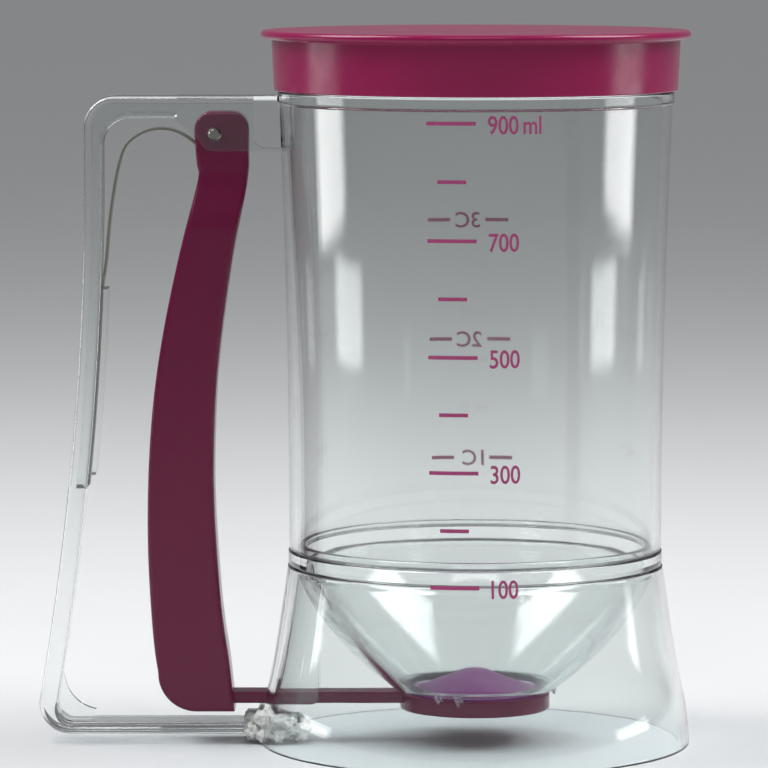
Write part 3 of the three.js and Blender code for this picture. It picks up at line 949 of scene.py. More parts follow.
@dataclass(frozen=True)
class Layout:
    """The sizes that several sub-assemblies share, mm."""

    foot_radius: float = 48.1
    cup_flare: float = 2.6
    cup_height: float = 118
    cup_wall: float = 2.3
    band_proud: float = 0.35
    neck_step: float = 1.05
    skirt_proud: float = 0.4
    skirt_flare: float = 7.3
    skirt_height: float = 46.5
    collar_height: float = 3.6
    collar_proud: float = 0.25
    handle_drop: float = 1.1
    handle_lift: float = 2.5
    handle_width: float = 13
    channel_wall: float = 1.9
    foot_depth: float = 3.2
    outlet_height: float = 13.9
    outlet_radius: float = 16.7
    arm_drop: float = 0.3
    arm_thickness: float = 3
    arm_width: float = 8
    pivot_gap: float = 16.4
    pivot_drop: float = 9.8
    pin_radius: float = 1.5
    lever_front: float = 8.8  # from the pin to the front of the lever's head
    spring_thickness: float = 0.7
    spring_width: float = 5.4
    tip_drop: float = 2.65  # from the pin down to the spring's tip
    lid_skirt: float = 13.2  # how far the lid reaches down over the neck
    flare_shares: tuple[Point, ...] = ((0, 0), (0.2, 0.13), (0.45, 0.46), (0.72, 0.74), (1, 1))

    @property
    def collar_low(self) -> float:
        """Height of the collar's lower face."""
        return self.skirt_height + CLEARANCE

    @property
    def collar_high(self) -> float:
        """Height of the collar's upper face."""
        return self.collar_low + self.collar_height

    @property
    def cup_low(self) -> float:
        """Height of the cup's foot."""
        return self.collar_high + CLEARANCE

    @property
    def shoulder(self) -> float:
        """Height of the cup's shoulder under the lid."""
        return self.cup_low + self.cup_height

    @property
    def lid_seat(self) -> float:
        """Height of the lid's lower edge."""
        return self.shoulder + CLEARANCE

    @property
    def handle_top(self) -> float:
        """Height of the handle frame's top."""
        return self.shoulder - self.handle_drop

    @property
    def pivot_height(self) -> float:
        """Height of the lever's pin."""
        return self.handle_top - self.pivot_drop

    @property
    def foot_top(self) -> float:
        """Height of the upper face of the frame's foot bar."""
        return self.handle_lift + self.foot_depth

    @property
    def seal_face(self) -> float:
        """Height of the seal's face under the outlet."""
        return self.outlet_height - CLEARANCE

    @property
    def arm_high(self) -> float:
        """Height of the valve arm's top."""
        return self.seal_face - self.arm_drop

    @property
    def arm_low(self) -> float:
        """Height of the valve arm's underside."""
        return self.arm_high - self.arm_thickness

    @property
    def shoulder_radius(self) -> float:
        """The cup's radius at its shoulder."""
        return self.foot_radius + self.cup_flare

    @property
    def band_radius(self) -> float:
        """Radius of the band under the lid."""
        return self.shoulder_radius + self.band_proud

    @property
    def neck_radius(self) -> float:
        """Radius of the neck that the lid goes on."""
        return self.band_radius - self.neck_step

    @property
    def skirt_top_radius(self) -> float:
        """The skirt's radius at its top."""
        return self.foot_radius + self.skirt_proud

    @property
    def base_radius(self) -> float:
        """The skirt's radius on the floor."""
        return self.skirt_top_radius + self.skirt_flare

    @property
    def pivot_reach(self) -> float:
        """Distance of the pin from the cup's axis."""
        return self.shoulder_radius + self.pivot_gap

    @property
    def channel_width(self) -> float:
        """The width between the channel's walls."""
        return self.handle_width - 2 * self.channel_wall

    def cup_radius(self, height: float) -> float:
        """The cup wall's outer radius at a height."""
        share = min(max((height - self.cup_low) / self.cup_height, 0), 1)
        return self.foot_radius + self.cup_flare * share**2

    def cup_face(self, high: float, grow: float = 0, steps: int = 30) -> Outline:
        """The cup wall's outer face from its foot up to a height, grown by a distance.

        Args:
            high: The height where it ends.
            grow: How far outside the cup it lies, mm.
            steps: How many chords it has.

        Returns:
            The points.
        """
        heights = [self.cup_low + (high - self.cup_low) * i / steps for i in range(steps + 1)]
        return [(self.cup_radius(h) + grow, h) for h in heights]

    def skirt_face(self, grow: float = 0, steps: int = 32) -> Outline:
        """The skirt's outer face from the floor up, grown by a distance.

        Args:
            grow: How far outside the skirt it lies, mm.
            steps: How many chords it has.

        Returns:
            The points.
        """
        edge = self.base_radius + grow
        knots = [(edge - self.skirt_flare * inner, self.skirt_height * up) for up, inner in self.flare_shares]
        return spline(knots, steps)

    def print_radius(self, height: float) -> float:
        """The radius of whatever outer face is at a height: skirt, collar or cup.

        Args:
            height: The height, mm.

        Returns:
            The radius, mm.
        """
        if height <= self.skirt_height:
            return crossing(self.skirt_face(), height)
        if height <= self.collar_high:
            return self.foot_radius + self.collar_proud
        return self.cup_radius(height)


LAYOUT = Layout()


@dataclass
class Assembly:
    """A sub-assembly that builds its pieces and puts them in place."""

    layout: Layout = LAYOUT

    def place(
        self, piece: Piece, body: Body, slot: Slot, finish: Material, node: str = "", crease: float = 35
    ) -> None:
        """Sets a piece in the frame, dresses it and lets it ride.

        Args:
            piece: The piece, built in mm round the cup's axis.
            body: The body that it moves with.
            slot: The record's slot that its finish comes from; not used.
            finish: Its material.
            node: The solid that it stands for, if it does.
            crease: Edges sharper than this many degrees stay sharp.
        """
        piece.data.transform(Matrix.Scale(MM, 4) @ Matrix.Translation((AXIS_X, 0, 0)))
        piece.data.materials.clear()
        piece.data.materials.append(finish)
        shaded(piece, crease)
        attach(piece, body.value)
        if node:
            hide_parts(node)
        LOG.info("%s: %d faces, rides on %s", piece.name, len(piece.data.polygons), body.value)


@dataclass
class MeasuringCup(Assembly):
    """The clear cup wall with its band and neck."""

    band_height: float = 3.2
    corner: float = 0.45

    def wall(self) -> Piece:
        """The cup's wall, open at both ends.

        Returns:
            The solid.
        """
        at = self.layout
        band_low = at.shoulder - self.band_height
        outer = at.cup_face(band_low)
        inner = [(r - at.cup_wall, h) for r, h in outer]
        bore = at.shoulder_radius - at.cup_wall
        rim = at.lid_seat + at.lid_skirt - CLEARANCE
        section = [
            *outer,
            (at.band_radius, band_low + at.band_proud),
            (at.band_radius, at.shoulder),
            (at.neck_radius, at.shoulder),
            (at.neck_radius, rim),
            (bore, rim),
            (bore, at.shoulder),
            *reversed(inner),
        ]
        return turned("cup_wall", softened(section, self.corner))

    def build(self, clear: Material) -> None:
        """Makes the cup."""
        self.place(self.wall(), Body.FIXED, Slot.CLEAR, clear, node="cup")


@dataclass
class PrintedScale(Assembly):
    """The millilitre marks on the front of the cup and the cup marks on its back."""

    film: float = 0.05
    sink: float = 0.01  # how far the print reaches into the plastic, so that no gap shows
    stroke: float = 0.95
    narrow: float = 0.82
    back_narrow: float = 1.03
    word_space: float = 0.6
    bolder: float = 0.012  # of the type's size, round each stroke
    long_line: Point = (-13.3, -0.9)
    short_line: Point = (-10.65, -3.4)
    text_left: float = 2.1
    text_height: float = 4.5
    text_drop: float = 0.3
    back_dashes: tuple[Point, ...] = ((-12.5, -6.2), (3.6, 10.0))
    back_text_left: float = -2.05
    back_text_height: float = 4.1
    marks: tuple[tuple[float, str], ...] = (
        (162.5, "900 ml"), (148.0, ""), (133.3, "700"), (118.8, ""), (104.2, "500"), (89.8, ""),
        (75.25, "300"), (60.7, ""),
    )  # the height of each, and what stands beside it
    foot_marks: tuple[tuple[float, str], ...] = ((46.4, "100"),)
    back_marks: tuple[tuple[float, str], ...] = ((132.6, "3C"), (100.7, "2C"), (68.9, "1C"))
    askew: Point = (0.0098, -0.0187)  # how far the front and the back print slip along the wall, per mm down

    def onto(self, across: float, height: float, depth: float, back: bool) -> tuple[float, float, float]:
        """A flat printed point laid on the round wall.

        Args:
            across: Distance along the wall from its middle, rightwards to one who reads it.
            height: Height above the floor.
            depth: Height above the plastic.
            back: True on the far side of the cup.

        Returns:
            The place, mm.
        """
        surface = self.layout.print_radius(height)
        top = (self.back_marks if back else self.marks)[0][0]
        angle = (across + self.askew[back] * (top - height)) / surface
        radius = surface + depth
        side = -1 if back else 1
        return side * radius * math.sin(angle), -side * radius * math.cos(angle), height

    def line(self, work: Work, span: Point, height: float, back: bool = False, steps: int = 16) -> None:
        """Adds a printed line between two places across.

        Args:
            work: The mesh that grows.
            span: Its ends, across.
            height: Its middle.
            back: True on the far side of the cup.
            steps: How many flat parts it bends in.
        """
        low, high = height - self.stroke / 2, height + self.stroke / 2
        corners = ((low, -self.sink), (high, -self.sink), (high, self.film), (low, self.film))
        rings = []
        for i in range(steps + 1):
            across = span[0] + (span[1] - span[0]) * i / steps
            rings.append([work.verts.new(self.onto(across, z, d, back)) for z, d in corners])
        for a, b in zip(rings, rings[1:]):
            for k in range(4):
                work.faces.new((a[k - 1], a[k], b[k], b[k - 1]))
        work.faces.new(rings[0])
        work.faces.new(rings[-1])

    def text(self, work: Work, words: str, left: float, height: float, tall: float, back: bool) -> None:
        """Adds printed words, centred on a height.

        Args:
            work: The mesh that grows.
            words: What is printed.
            left: Where it starts, across.
            height: The middle of its numerals.
            tall: The numerals' height.
            back: True on the far side of the cup.
        """
        curve = bpy.data.curves.new(words.replace(" ", "_"), "FONT")
        curve.body = words
        curve.resolution_u = 5
        curve.extrude = 0.5
        curve.offset = self.bolder
        curve.space_word = self.word_space
        writer = bpy.data.objects.new(curve.name, curve)
        bpy.context.scene.collection.objects.link(writer)
        bpy.context.view_layer.update()
        graph = bpy.context.evaluated_depsgraph_get()
        flat = bpy.data.meshes.new_from_object(writer.evaluated_get(graph))
        bpy.data.objects.remove(writer)
        start = min(v.co.x for v in flat.vertices)
        size = tall / max(v.co.y for v in flat.vertices)
        narrow = self.back_narrow if back else self.narrow
        for vertex in flat.vertices:
            across = left + (vertex.co.x - start) * size * narrow
            depth = self.film if vertex.co.z > 0 else -self.sink
            vertex.co = self.onto(across, height - tall / 2 + vertex.co.y * size, depth, back)
        work.from_mesh(flat)

    def front(self, work: Work, marks: Sequence[tuple[float, str]]) -> None:
        """Draws marks on the cup's front, long ones where words stand beside them.

        Args:
            work: The mesh that grows.
            marks: The height of each mark and its words.
        """
        for height, words in marks:
            self.line(work, self.long_line if words else self.short_line, height)
            if words:
                self.text(work, words, self.text_left, height - self.text_drop, self.text_height, False)

    def back(self, work: Work, marks: Sequence[tuple[float, str]]) -> None:
        """Draws the cup marks on the far side, each between two dashes.

        Args:
            work: The mesh that grows.
            marks: The height of each mark and its words.
        """
        for height, words in marks:
            for left, right in self.back_dashes:
                self.line(work, (-right, -left), height, True)
            self.text(work, words, self.back_text_left, height, self.back_text_height, True)

    def build(self, ink: Material) -> None:
        """Makes the three printed pieces.

        Args:
            ink: Their material.
        """
        sheets = (
            ("scale_front", self.front, self.marks), ("scale_foot", self.front, self.foot_marks),
            ("scale_back", self.back, self.back_marks),
        )
        for name, draw, marks in sheets:
            work = bmesh.new()
            draw(work, marks)
            bmesh.ops.recalc_face_normals(work, faces=work.faces[:])
            self.place(linked(name, work), Body.FIXED, Slot.MAGENTA, ink)


@dataclass
class PouringFunnel(Assembly):
    """The clear bowl with its collar, spigots and outlet lip."""

    wall: float = 2.1
    lip_width: float = 4
    spigot_height: float = 2
    skirt_wall: float = 2.2
    belly_shares: Point = (0.8, 0.49)
    corner: float = 0.4
    lip_rise: float = 0.2
    drips: tuple[tuple[float, float, float], ...] = (
        (-119.0, 0.7, 1.6), (-115.5, 0.5, 0.9), (-104.0, 0.85, 2.0), (-101.0, 0.5, 1.0), (-12.0, 0.6, 1.1),
    )  # degrees round the lip, radius and length of each moulding burr
    drip_beads: int = 4
    drip_out: float = 0.15
    drip_up: float = 0.3
    drip_lean: float = 0.008
    drip_taper: float = 0.45
    drip_skin: float = 0.14
    drip_rough: float = 0.12

    def bowl(self, offset: float, steps: int = 36) -> Outline:
        """The bowl's outer face, from the lip up to the collar, moved inwards by an offset.

        Args:
            offset: How far inwards it lies, mm.
            steps: How many chords it has.

        Returns:
            The points.
        """
        at = self.layout
        lip = Vector((at.outlet_radius + self.lip_width, at.outlet_height))
        top = Vector((
            at.skirt_top_radius - self.skirt_wall - CLEARANCE, at.collar_low - self.spigot_height,
        ))
        belly = Vector(tuple(a + s * (b - a) for a, b, s in zip(lip, top, self.belly_shares)))
        points = []
        for i in range(steps + 1):
            t = i / steps
            here = curved(lip, belly, top, t)
            way = ((belly - lip) * (1 - t) + (top - belly) * t).normalized()
            points.append((here.x - way.y * offset, here.y + way.x * offset))
        return points

    def shell(self) -> Piece:
        """The funnel's solid.

        Returns:
            The solid.
        """
        at = self.layout
        outer, inner = self.bowl(0), self.bowl(self.wall)
        spigot = at.foot_radius - at.cup_wall - CLEARANCE
        section = [
            (at.outlet_radius, at.outlet_height),
            *outer,
            (outer[-1][0], at.collar_low),
            (at.foot_radius + at.collar_proud, at.collar_low),
            (at.foot_radius + at.collar_proud, at.collar_high),
            (spigot, at.collar_high),
            (spigot, at.collar_high + self.spigot_height),
            (inner[-1][0], at.collar_high + self.spigot_height),
            *reversed(inner),
            (at.outlet_radius, inner[0][1] + self.lip_rise),
        ]
        return turned("funnel_bowl", softened(section, self.corner))

    def burrs(self) -> Piece:
        """Small clear burrs that hang from the outlet's lip.

        Returns:
            The solid.
        """
        at = self.layout
        edge = at.outlet_radius + self.lip_width + self.drip_out
        balls = []
        for angle, radius, length in self.drips:
            for k in range(self.drip_beads):
                turn = math.radians(angle) + self.drip_lean * k
                share = k / (self.drip_beads - 1)
                balls.append((
                    edge * math.cos(turn), edge * math.sin(turn),
                    at.outlet_height + self.drip_up - share * length, radius * (1 - self.drip_taper * share),
                ))
        return lumps("outlet_burrs", balls, self.drip_skin, self.drip_rough)

    def build(self, clear: Material) -> None:
        """Makes the funnel and its burrs."""
        self.place(self.shell(), Body.FIXED, Slot.CLEAR, clear, node="funnel")
        self.place(self.burrs(), Body.FIXED, Slot.CLEAR, clear, crease=180)


@dataclass
class FlaredSkirt(Assembly):
    """The clear base, with the arm's window, the guide plates, the boss and the melted joint at the foot."""

    wall: float = 2.2
    window_side: float = 0.8
    window_below: float = 3.9
    window_above: float = 3.1
    window_round: float = 2.4
    guide_wall: float = 2
    guide_depth: float = 15.5
    guide_round: float = 2
    guide_edge: float = 0.4
    boss_depth: float = 9.8
    boss_lift: float = 0.8
    boss_edge: float = 0.5
    core_drop: float = 0.4
    corner: float = 0.5
    weld_skin: float = 0.3
    weld_rough: float = 0.85
    weld: tuple[tuple[float, float, float, float], ...] = (
        (-57.6, -3.2, 5.3, 2.3), (-57.9, 2.8, 5.1, 2.2), (-55.0, -6.6, 6.9, 2.1), (-54.2, 6.5, 6.7, 2.2),
        (-52.6, -6.6, 5.6, 2.3), (-51.2, 6.3, 5.0, 2.2), (-49.6, -6.8, 6.0, 1.8), (-47.6, -6.6, 4.4, 2.2),
        (-46.4, 6.4, 4.0, 2.0), (-45.0, -4.6, 2.9, 2.2), (-44.8, 3.8, 2.7, 2.0), (-57.6, -5.6, 3.6, 2.0),
        (-57.4, 5.6, 3.4, 2.0), (-54.6, -7.0, 2.6, 1.9), (-50.6, -7.2, 2.4, 1.8), (-53.0, 7.0, 2.6, 1.8),
    )  # x, y, z and radius of each lump

    def shell(self, funnel: PouringFunnel) -> Piece:
        """The skirt's solid.

        Args:
            funnel: The funnel, whose bowl the guide plates stay clear of.

        Returns:
            The solid.
        """
        at = self.layout
        outer = at.skirt_face()
        inner = [(r - self.wall, z) for r, z in outer]
        shell = turned("skirt_shell", softened([*outer, *reversed(inner)], self.corner))
        middle = [(r - self.wall / 2, z) for r, z in outer if z > self.boss_lift]
        top = at.skirt_height - self.core_drop
        core = turned("core", [(0, self.boss_lift), *middle[:-1], (middle[-1][0], top), (0, top)])
        half = at.arm_width / 2 + self.window_side
        sill, head = at.arm_low - self.window_below, at.arm_high + self.window_above
        edge = self.guide_depth - at.base_radius
        arch = [
            (-half, sill), (half, sill),
            *arc(half - self.window_round, head - self.window_round, self.window_round, 0, 90),
            *arc(self.window_round - half, head - self.window_round, self.window_round, 90, 180),
        ]
        window = bar("window", arch, -at.base_radius - OVERRUN, edge)
        guide = slab("guide", [
            (-at.base_radius, at.arm_low),
            *arc(edge - self.guide_round, at.arm_low + self.guide_round, self.guide_round, 270, 360),
            (edge, at.skirt_height), (-at.base_radius, at.skirt_height),
        ], self.guide_wall, self.guide_edge)
        boss = slab(
            "boss", rectangle(-at.base_radius, self.boss_lift, self.boss_depth - at.base_radius, sill),
            at.handle_width, self.boss_edge,
        )
        ribs = worked(paired(guide, half + self.guide_wall / 2), boss, Cut.JOIN)
        ribs = worked(ribs, core, Cut.KEEP)
        shell = worked(shell, ribs, Cut.JOIN)
        shell = worked(shell, window, Cut.REMOVE)
        bowl = funnel.bowl(-CLEARANCE)
        space = [(0, bowl[0][1]), *bowl, (bowl[-1][0], at.collar_high), (0, at.collar_high)]
        return worked(shell, turned("bowl_space", space), Cut.REMOVE)

    def build(self, clear: Material, melted: Material, funnel: PouringFunnel) -> None:
        """Makes the skirt and the melted joint.

        Args:
            clear: The skirt's material.
            melted: The melted joint's material.
            funnel: The funnel that stands in the skirt.
        """
        self.place(self.shell(funnel), Body.FIXED, Slot.CLEAR, clear, node="skirt")
        joint = lumps("melted_joint", self.weld, self.weld_skin, self.weld_rough)
        self.place(joint, Body.FIXED, Slot.CLEAR, melted, crease=180)


@dataclass
class HandleFrame(Assembly):
    """The clear squared frame: a channel above, a plain bar below, ears, bridge, gusset, web and pad."""

    upright_gap: float = 33.5
    foot_kick: float = 12.27
    bend_drop: float = 17.6
    corner_radius: float = 8
    inner_top_radius: float = 7
    inner_foot_radius: float = 4
    top_depth: float = 5.7
    upright_depth: float = 4.8
    edge_round: float = 1.3
    skin: float = 2
    pocket_rise: float = 64
    bridge_rise: float = 67.5
    bridge_length: float = 48
    bridge_proud: float = 1.9
    bridge_wall: float = 1.1
    gusset_gap: float = 1.2
    gusset_drop: float = 13.4
    gusset_round: float = 3
    web_rise: float = 12.3
    web_run: float = 10.6
    web_tip: float = 2.6
    web_wall: float = 2
    pad_run: float = 3.4
    pad_height: float = 6.6
    pad_edge: float = 0.6
    ear_radius: float = 4.3
    ear_run: float = 10
    ear_start: float = 205  # degrees, where the ear's round edge starts
    cup_wall_end: float = 3.5  # below the cup's shoulder, as the next
    cup_band_start: float = 3.15

    @property
    def upright_reach(self) -> float:
        """Distance of the upright's outer face from the cup's axis."""
        return self.layout.pivot_reach + self.upright_gap

    @property
    def bend_height(self) -> float:
        """Where the upright starts to lean out."""
        return self.layout.handle_top - self.bend_drop

    @property
    def bend_radius(self) -> float:
        """Radius of the upright's long lean."""
        fall = self.bend_height - self.layout.handle_lift - self.corner_radius
        return (self.foot_kick**2 + fall**2) / (2 * self.foot_kick) - self.corner_radius

    @property
    def bridge_low(self) -> float:
        """Height of the bridge's lower end."""
        return self.layout.handle_lift + self.bridge_rise

    @property
    def bridge_high(self) -> float:
        """Height of the bridge's upper end."""
        return self.bridge_low + self.bridge_length

    @property
    def gusset_face(self) -> float:
        """Where the gusset starts, in front of the lever's head."""
        return self.layout.lever_front + self.gusset_gap - self.layout.pivot_reach

    def upright_at(self, height: float, depth: float) -> float:
        """How far out a line along the upright lies, at a depth in from the outer face.

        Args:
            height: The height, mm.
            depth: The depth, mm.

        Returns:
            Its place, from the axis.
        """
        fall = max(0.0, self.bend_height - height)
        centre = -self.upright_reach - self.bend_radius
        return centre + math.sqrt((self.bend_radius + depth) ** 2 - fall**2)

    def upright_line(self, start: float, end: float, depth: float, steps: int = 28) -> Outline:
        """Points along the upright at one depth, from one height to another."""
        heights = [start + (end - start) * i / steps for i in range(steps + 1)]
        return [(self.upright_at(h, depth), h) for h in heights]

    def frame_line(
        self, top_in: float, side_in: float, foot_in: float, top_round: float, foot_round: float
    ) -> Outline:
        """A line right along the frame, from the cup round to the skirt.

        Args:
            top_in: Depth in from the top bar's outer face.
            side_in: Depth in from the upright's outer face.
            foot_in: Depth in from the foot bar's outer face.
            top_round: Radius of the upper corner.
            foot_round: Radius of the lower corner.

        Returns:
            The points.
        """
        top = self.layout.handle_top - top_in
        foot = self.layout.handle_lift + foot_in
        elbow = foot + foot_round
        elbow_x = self.upright_at(elbow, side_in + foot_round)
        centre = -self.upright_reach - self.bend_radius
        lean = math.degrees(math.atan2(self.bend_height - elbow, elbow_x - centre))
        corner = arc(elbow_x, elbow, foot_round, 180 - lean, 270)
        apart = 0.02  # mm, so that the corner's last point isn't met twice
        start = min(self.bend_height, top - top_round - apart)
        return [
            (0, top),
            *arc(side_in + top_round - self.upright_reach, top - top_round, top_round, 90, 180),
            *self.upright_line(start, corner[0][1], side_in)[:-1],
            *corner,
            (0, foot),
        ]

    def ears(self) -> Piece:
        """The two ears that hold the pin.

        Returns:
            The solid.
        """
        at = self.layout
        end = -at.pivot_reach - self.ear_run
        ear = slab("ear", [
            (end, at.handle_top - self.top_depth),
            *arc(-at.pivot_reach, at.pivot_height, self.ear_radius, self.ear_start, 270),
            (0, at.pivot_height - self.ear_radius), (0, at.handle_top - self.skin),
            (end, at.handle_top - self.skin),
        ], at.channel_wall)
        return paired(ear, (at.handle_width - at.channel_wall) / 2)

    def band_across(self, name: str, outer: float, inner: float, width: float, past: float) -> Piece:
        """A block along the bridge between two depths.

        Args:
            name: The object's name.
            outer: The outer side's depth.
            inner: The inner side's depth.
            width: Its thickness along Y.
            past: How far it runs past both ends of the bridge.

        Returns:
            The solid.
        """
        return slab(name, [
            *self.upright_line(self.bridge_low - past, self.bridge_high + past, outer, steps=14),
            *self.upright_line(self.bridge_high + past, self.bridge_low - past, inner, steps=14),
        ], width)

    def bridge(self) -> Piece:
        """The bridge over the channel that holds the spring's tail.

        Returns:
            The solid.
        """
        at = self.layout
        face = self.upright_depth + self.bridge_proud
        root, width = self.upright_depth - self.edge_round, at.handle_width - 2 * self.edge_round
        whole = self.band_across("bridge", root, face, width, 0)
        tunnel = self.band_across("tunnel", 0, face - self.bridge_wall, at.channel_width, OVERRUN)
        return worked(whole, tunnel, Cut.REMOVE)

    def gusset(self) -> Piece:
        """The frame's solid end at the cup.

        Returns:
            The solid.
        """
        at = self.layout
        near = self.gusset_face
        low, high = at.handle_top - self.gusset_drop, at.handle_top - self.edge_round
        return slab("gusset", [
            (near, high),
            *arc(near + self.gusset_round, low + self.gusset_round, self.gusset_round, 180, 270),
            (0, low), (0, high),
        ], at.handle_width - 2 * self.edge_round)

    def web(self) -> Piece:
        """The thin web in the frame's lower corner.

        Returns:
            The solid.
        """
        at = self.layout
        corner = self.upright_at(at.foot_top, self.upright_depth)
        high = at.foot_top + self.web_rise
        tip = Vector((corner + self.web_run, at.foot_top + self.web_tip))
        root = Vector((self.upright_at(high, self.upright_depth), high))
        belly = Vector((corner + self.web_run / 3, at.foot_top + self.web_rise / 3))
        steps = 16
        low = at.foot_top - at.foot_depth / 2
        return slab("web", [
            *[tuple(curved(root, belly, tip, i / steps)) for i in range(steps + 1)],
            (tip.x - self.web_tip / 2, low), (corner, low),
            (self.upright_at(high, self.upright_depth / 2), high),
        ], self.web_wall)

    def channel(self) -> Piece:
        """The channel's hollow, from the gusset round to the pocket's floor.

        Returns:
            The solid that is cut away.
        """
        at = self.layout
        floor = at.handle_lift + self.pocket_rise
        roof = at.handle_top - self.skin
        mouth = at.handle_top - self.top_depth - OVERRUN
        end = self.gusset_face
        past = self.upright_depth + OVERRUN
        turn = self.corner_radius - self.skin
        line = self.frame_line(self.skin, self.skin, self.skin, turn, turn)
        return slab("channel", [
            (end, roof),
            *[p for p in line[1:] if p[1] > floor],
            (self.upright_at(floor, self.skin), floor),
            (self.upright_at(floor, past), floor),
            (self.upright_at(self.bend_height, past), self.bend_height),
            (self.upright_at(self.bend_height, past + self.inner_top_radius), mouth),
            (end, mouth),
        ], at.channel_width)

    def body_space(self) -> Piece:
        """The room that the skirt and the cup take, with a clearance round it.

        Returns:
            The solid that is cut away.
        """
        at = self.layout
        band = at.band_radius + CLEARANCE
        past = 1  # mm, below the floor and above the cup's shoulder
        section = [
            (0, -past), (at.base_radius + CLEARANCE, -past), *at.skirt_face(CLEARANCE),
            *[p for p in at.cup_face(at.shoulder, CLEARANCE) if p[1] < at.shoulder - self.cup_wall_end],
            (band, at.shoulder - self.cup_band_start), (band, at.shoulder + past), (0, at.shoulder + past),
        ]
        return turned("body_space", section)

    def shell(self) -> Piece:
        """The frame's solid.

        Returns:
            The solid.
        """
        at = self.layout
        outline = [
            *self.frame_line(0, 0, 0, self.corner_radius, self.corner_radius),
            *reversed(self.frame_line(
                self.top_depth, self.upright_depth, at.foot_depth,
                self.inner_top_radius, self.inner_foot_radius,
            )),
        ]
        pad_low = at.handle_lift + at.foot_depth / 2 - self.pad_height / 2
        pad = slab(
            "pad", rectangle(-at.base_radius - self.pad_run, pad_low, 0, pad_low + self.pad_height),
            at.handle_width, self.pad_edge,
        )
        reach = at.handle_width / 2 + OVERRUN
        bore = at.pin_radius + CLEARANCE
        pin_hole = rod("pin_hole", -at.pivot_reach, at.pivot_height, ((-reach, bore), (reach, bore)))
        shell = slab("handle_shell", outline, at.handle_width, self.edge_round, steps=6)
        shell = worked(shell, self.channel(), Cut.REMOVE)
        for part in (self.bridge(), self.ears(), self.gusset(), self.web(), pad):
            shell = worked(shell, part, Cut.JOIN)
        return worked(worked(shell, pin_hole, Cut.REMOVE), self.body_space(), Cut.REMOVE)

    def build(self, clear: Material) -> None:
        """Makes the frame."""
        self.place(self.shell(), Body.FIXED, Slot.CLEAR, clear, node="handle_frame")


@dataclass
class SpringAndPin(Assembly):
    """The steel leaf spring and the lever's pin."""

    depth: float = 4.95
    tail_gap: float = 0.6
    arch_depth: float = 8.2
    tip_back: float = 4.8
    tip_angle: float = 40
    heel_angle: float = 158
    release_shares: tuple[Point, ...] = ((0.1, 0.16), (0.3, 0.35), (0.6, 0.47))
    relaxing: int = 34
    edge_round: float = 0.15
    pin_inset: float = 0.4
    pin_chamfer: float = 0.35

    def spring(self, handle: HandleFrame) -> Piece:
        """The strip, from its tail in the frame's pocket over to the lever's notch.

        Args:
            handle: The frame that holds it.

        Returns:
            The solid.
        """
        at = self.layout
        tip = math.radians(self.tip_angle)
        tip_x = -at.pivot_reach - self.tip_back
        left = self.arch_depth - handle.upright_reach
        radius = (tip_x - left) / (1 + math.cos(tip))
        centre = at.pivot_height - at.tip_drop - radius * math.sin(tip)
        tail = at.handle_lift + handle.pocket_rise + self.tail_gap
        release = []
        for up, inward in self.release_shares:
            height = handle.bridge_high + up * (centre - handle.bridge_high)
            release.append((
                handle.upright_at(height, self.depth + inward * (self.arch_depth - self.depth)), height,
            ))
        knots = [
            *handle.upright_line(tail, handle.bridge_high, self.depth, steps=5),
            *release,
            *arc(left + radius, centre, radius, self.heel_angle, self.tip_angle, steps=5),
        ]
        path = relaxed(spline(knots, steps=120), self.relaxing)
        half = at.spring_thickness / 2
        outline = [*beside(path, half), *reversed(beside(path, -half))]
        return slab("leaf_spring_strip", outline, at.spring_width, self.edge_round, steps=2)

    def pin(self) -> Piece:
        """The pin, with chamfered ends.

        Returns:
            The solid.
        """
        at = self.layout
        half = at.handle_width / 2 - self.pin_inset
        small = at.pin_radius - self.pin_chamfer
        ends = (
            (-half, small), (-half + self.pin_chamfer, at.pin_radius),
            (half - self.pin_chamfer, at.pin_radius), (half, small),
        )
        return rod("pivot_wire", -at.pivot_reach, at.pivot_height, ends)

    def build(self, steel: Material, handle: HandleFrame) -> None:
        """Makes the spring and the pin."""
        self.place(self.spring(handle), Body.FIXED, Slot.STEEL, steel, node="leaf_spring")
        self.place(self.pin(), Body.FIXED, Slot.STEEL, steel, node="pivot_pin")


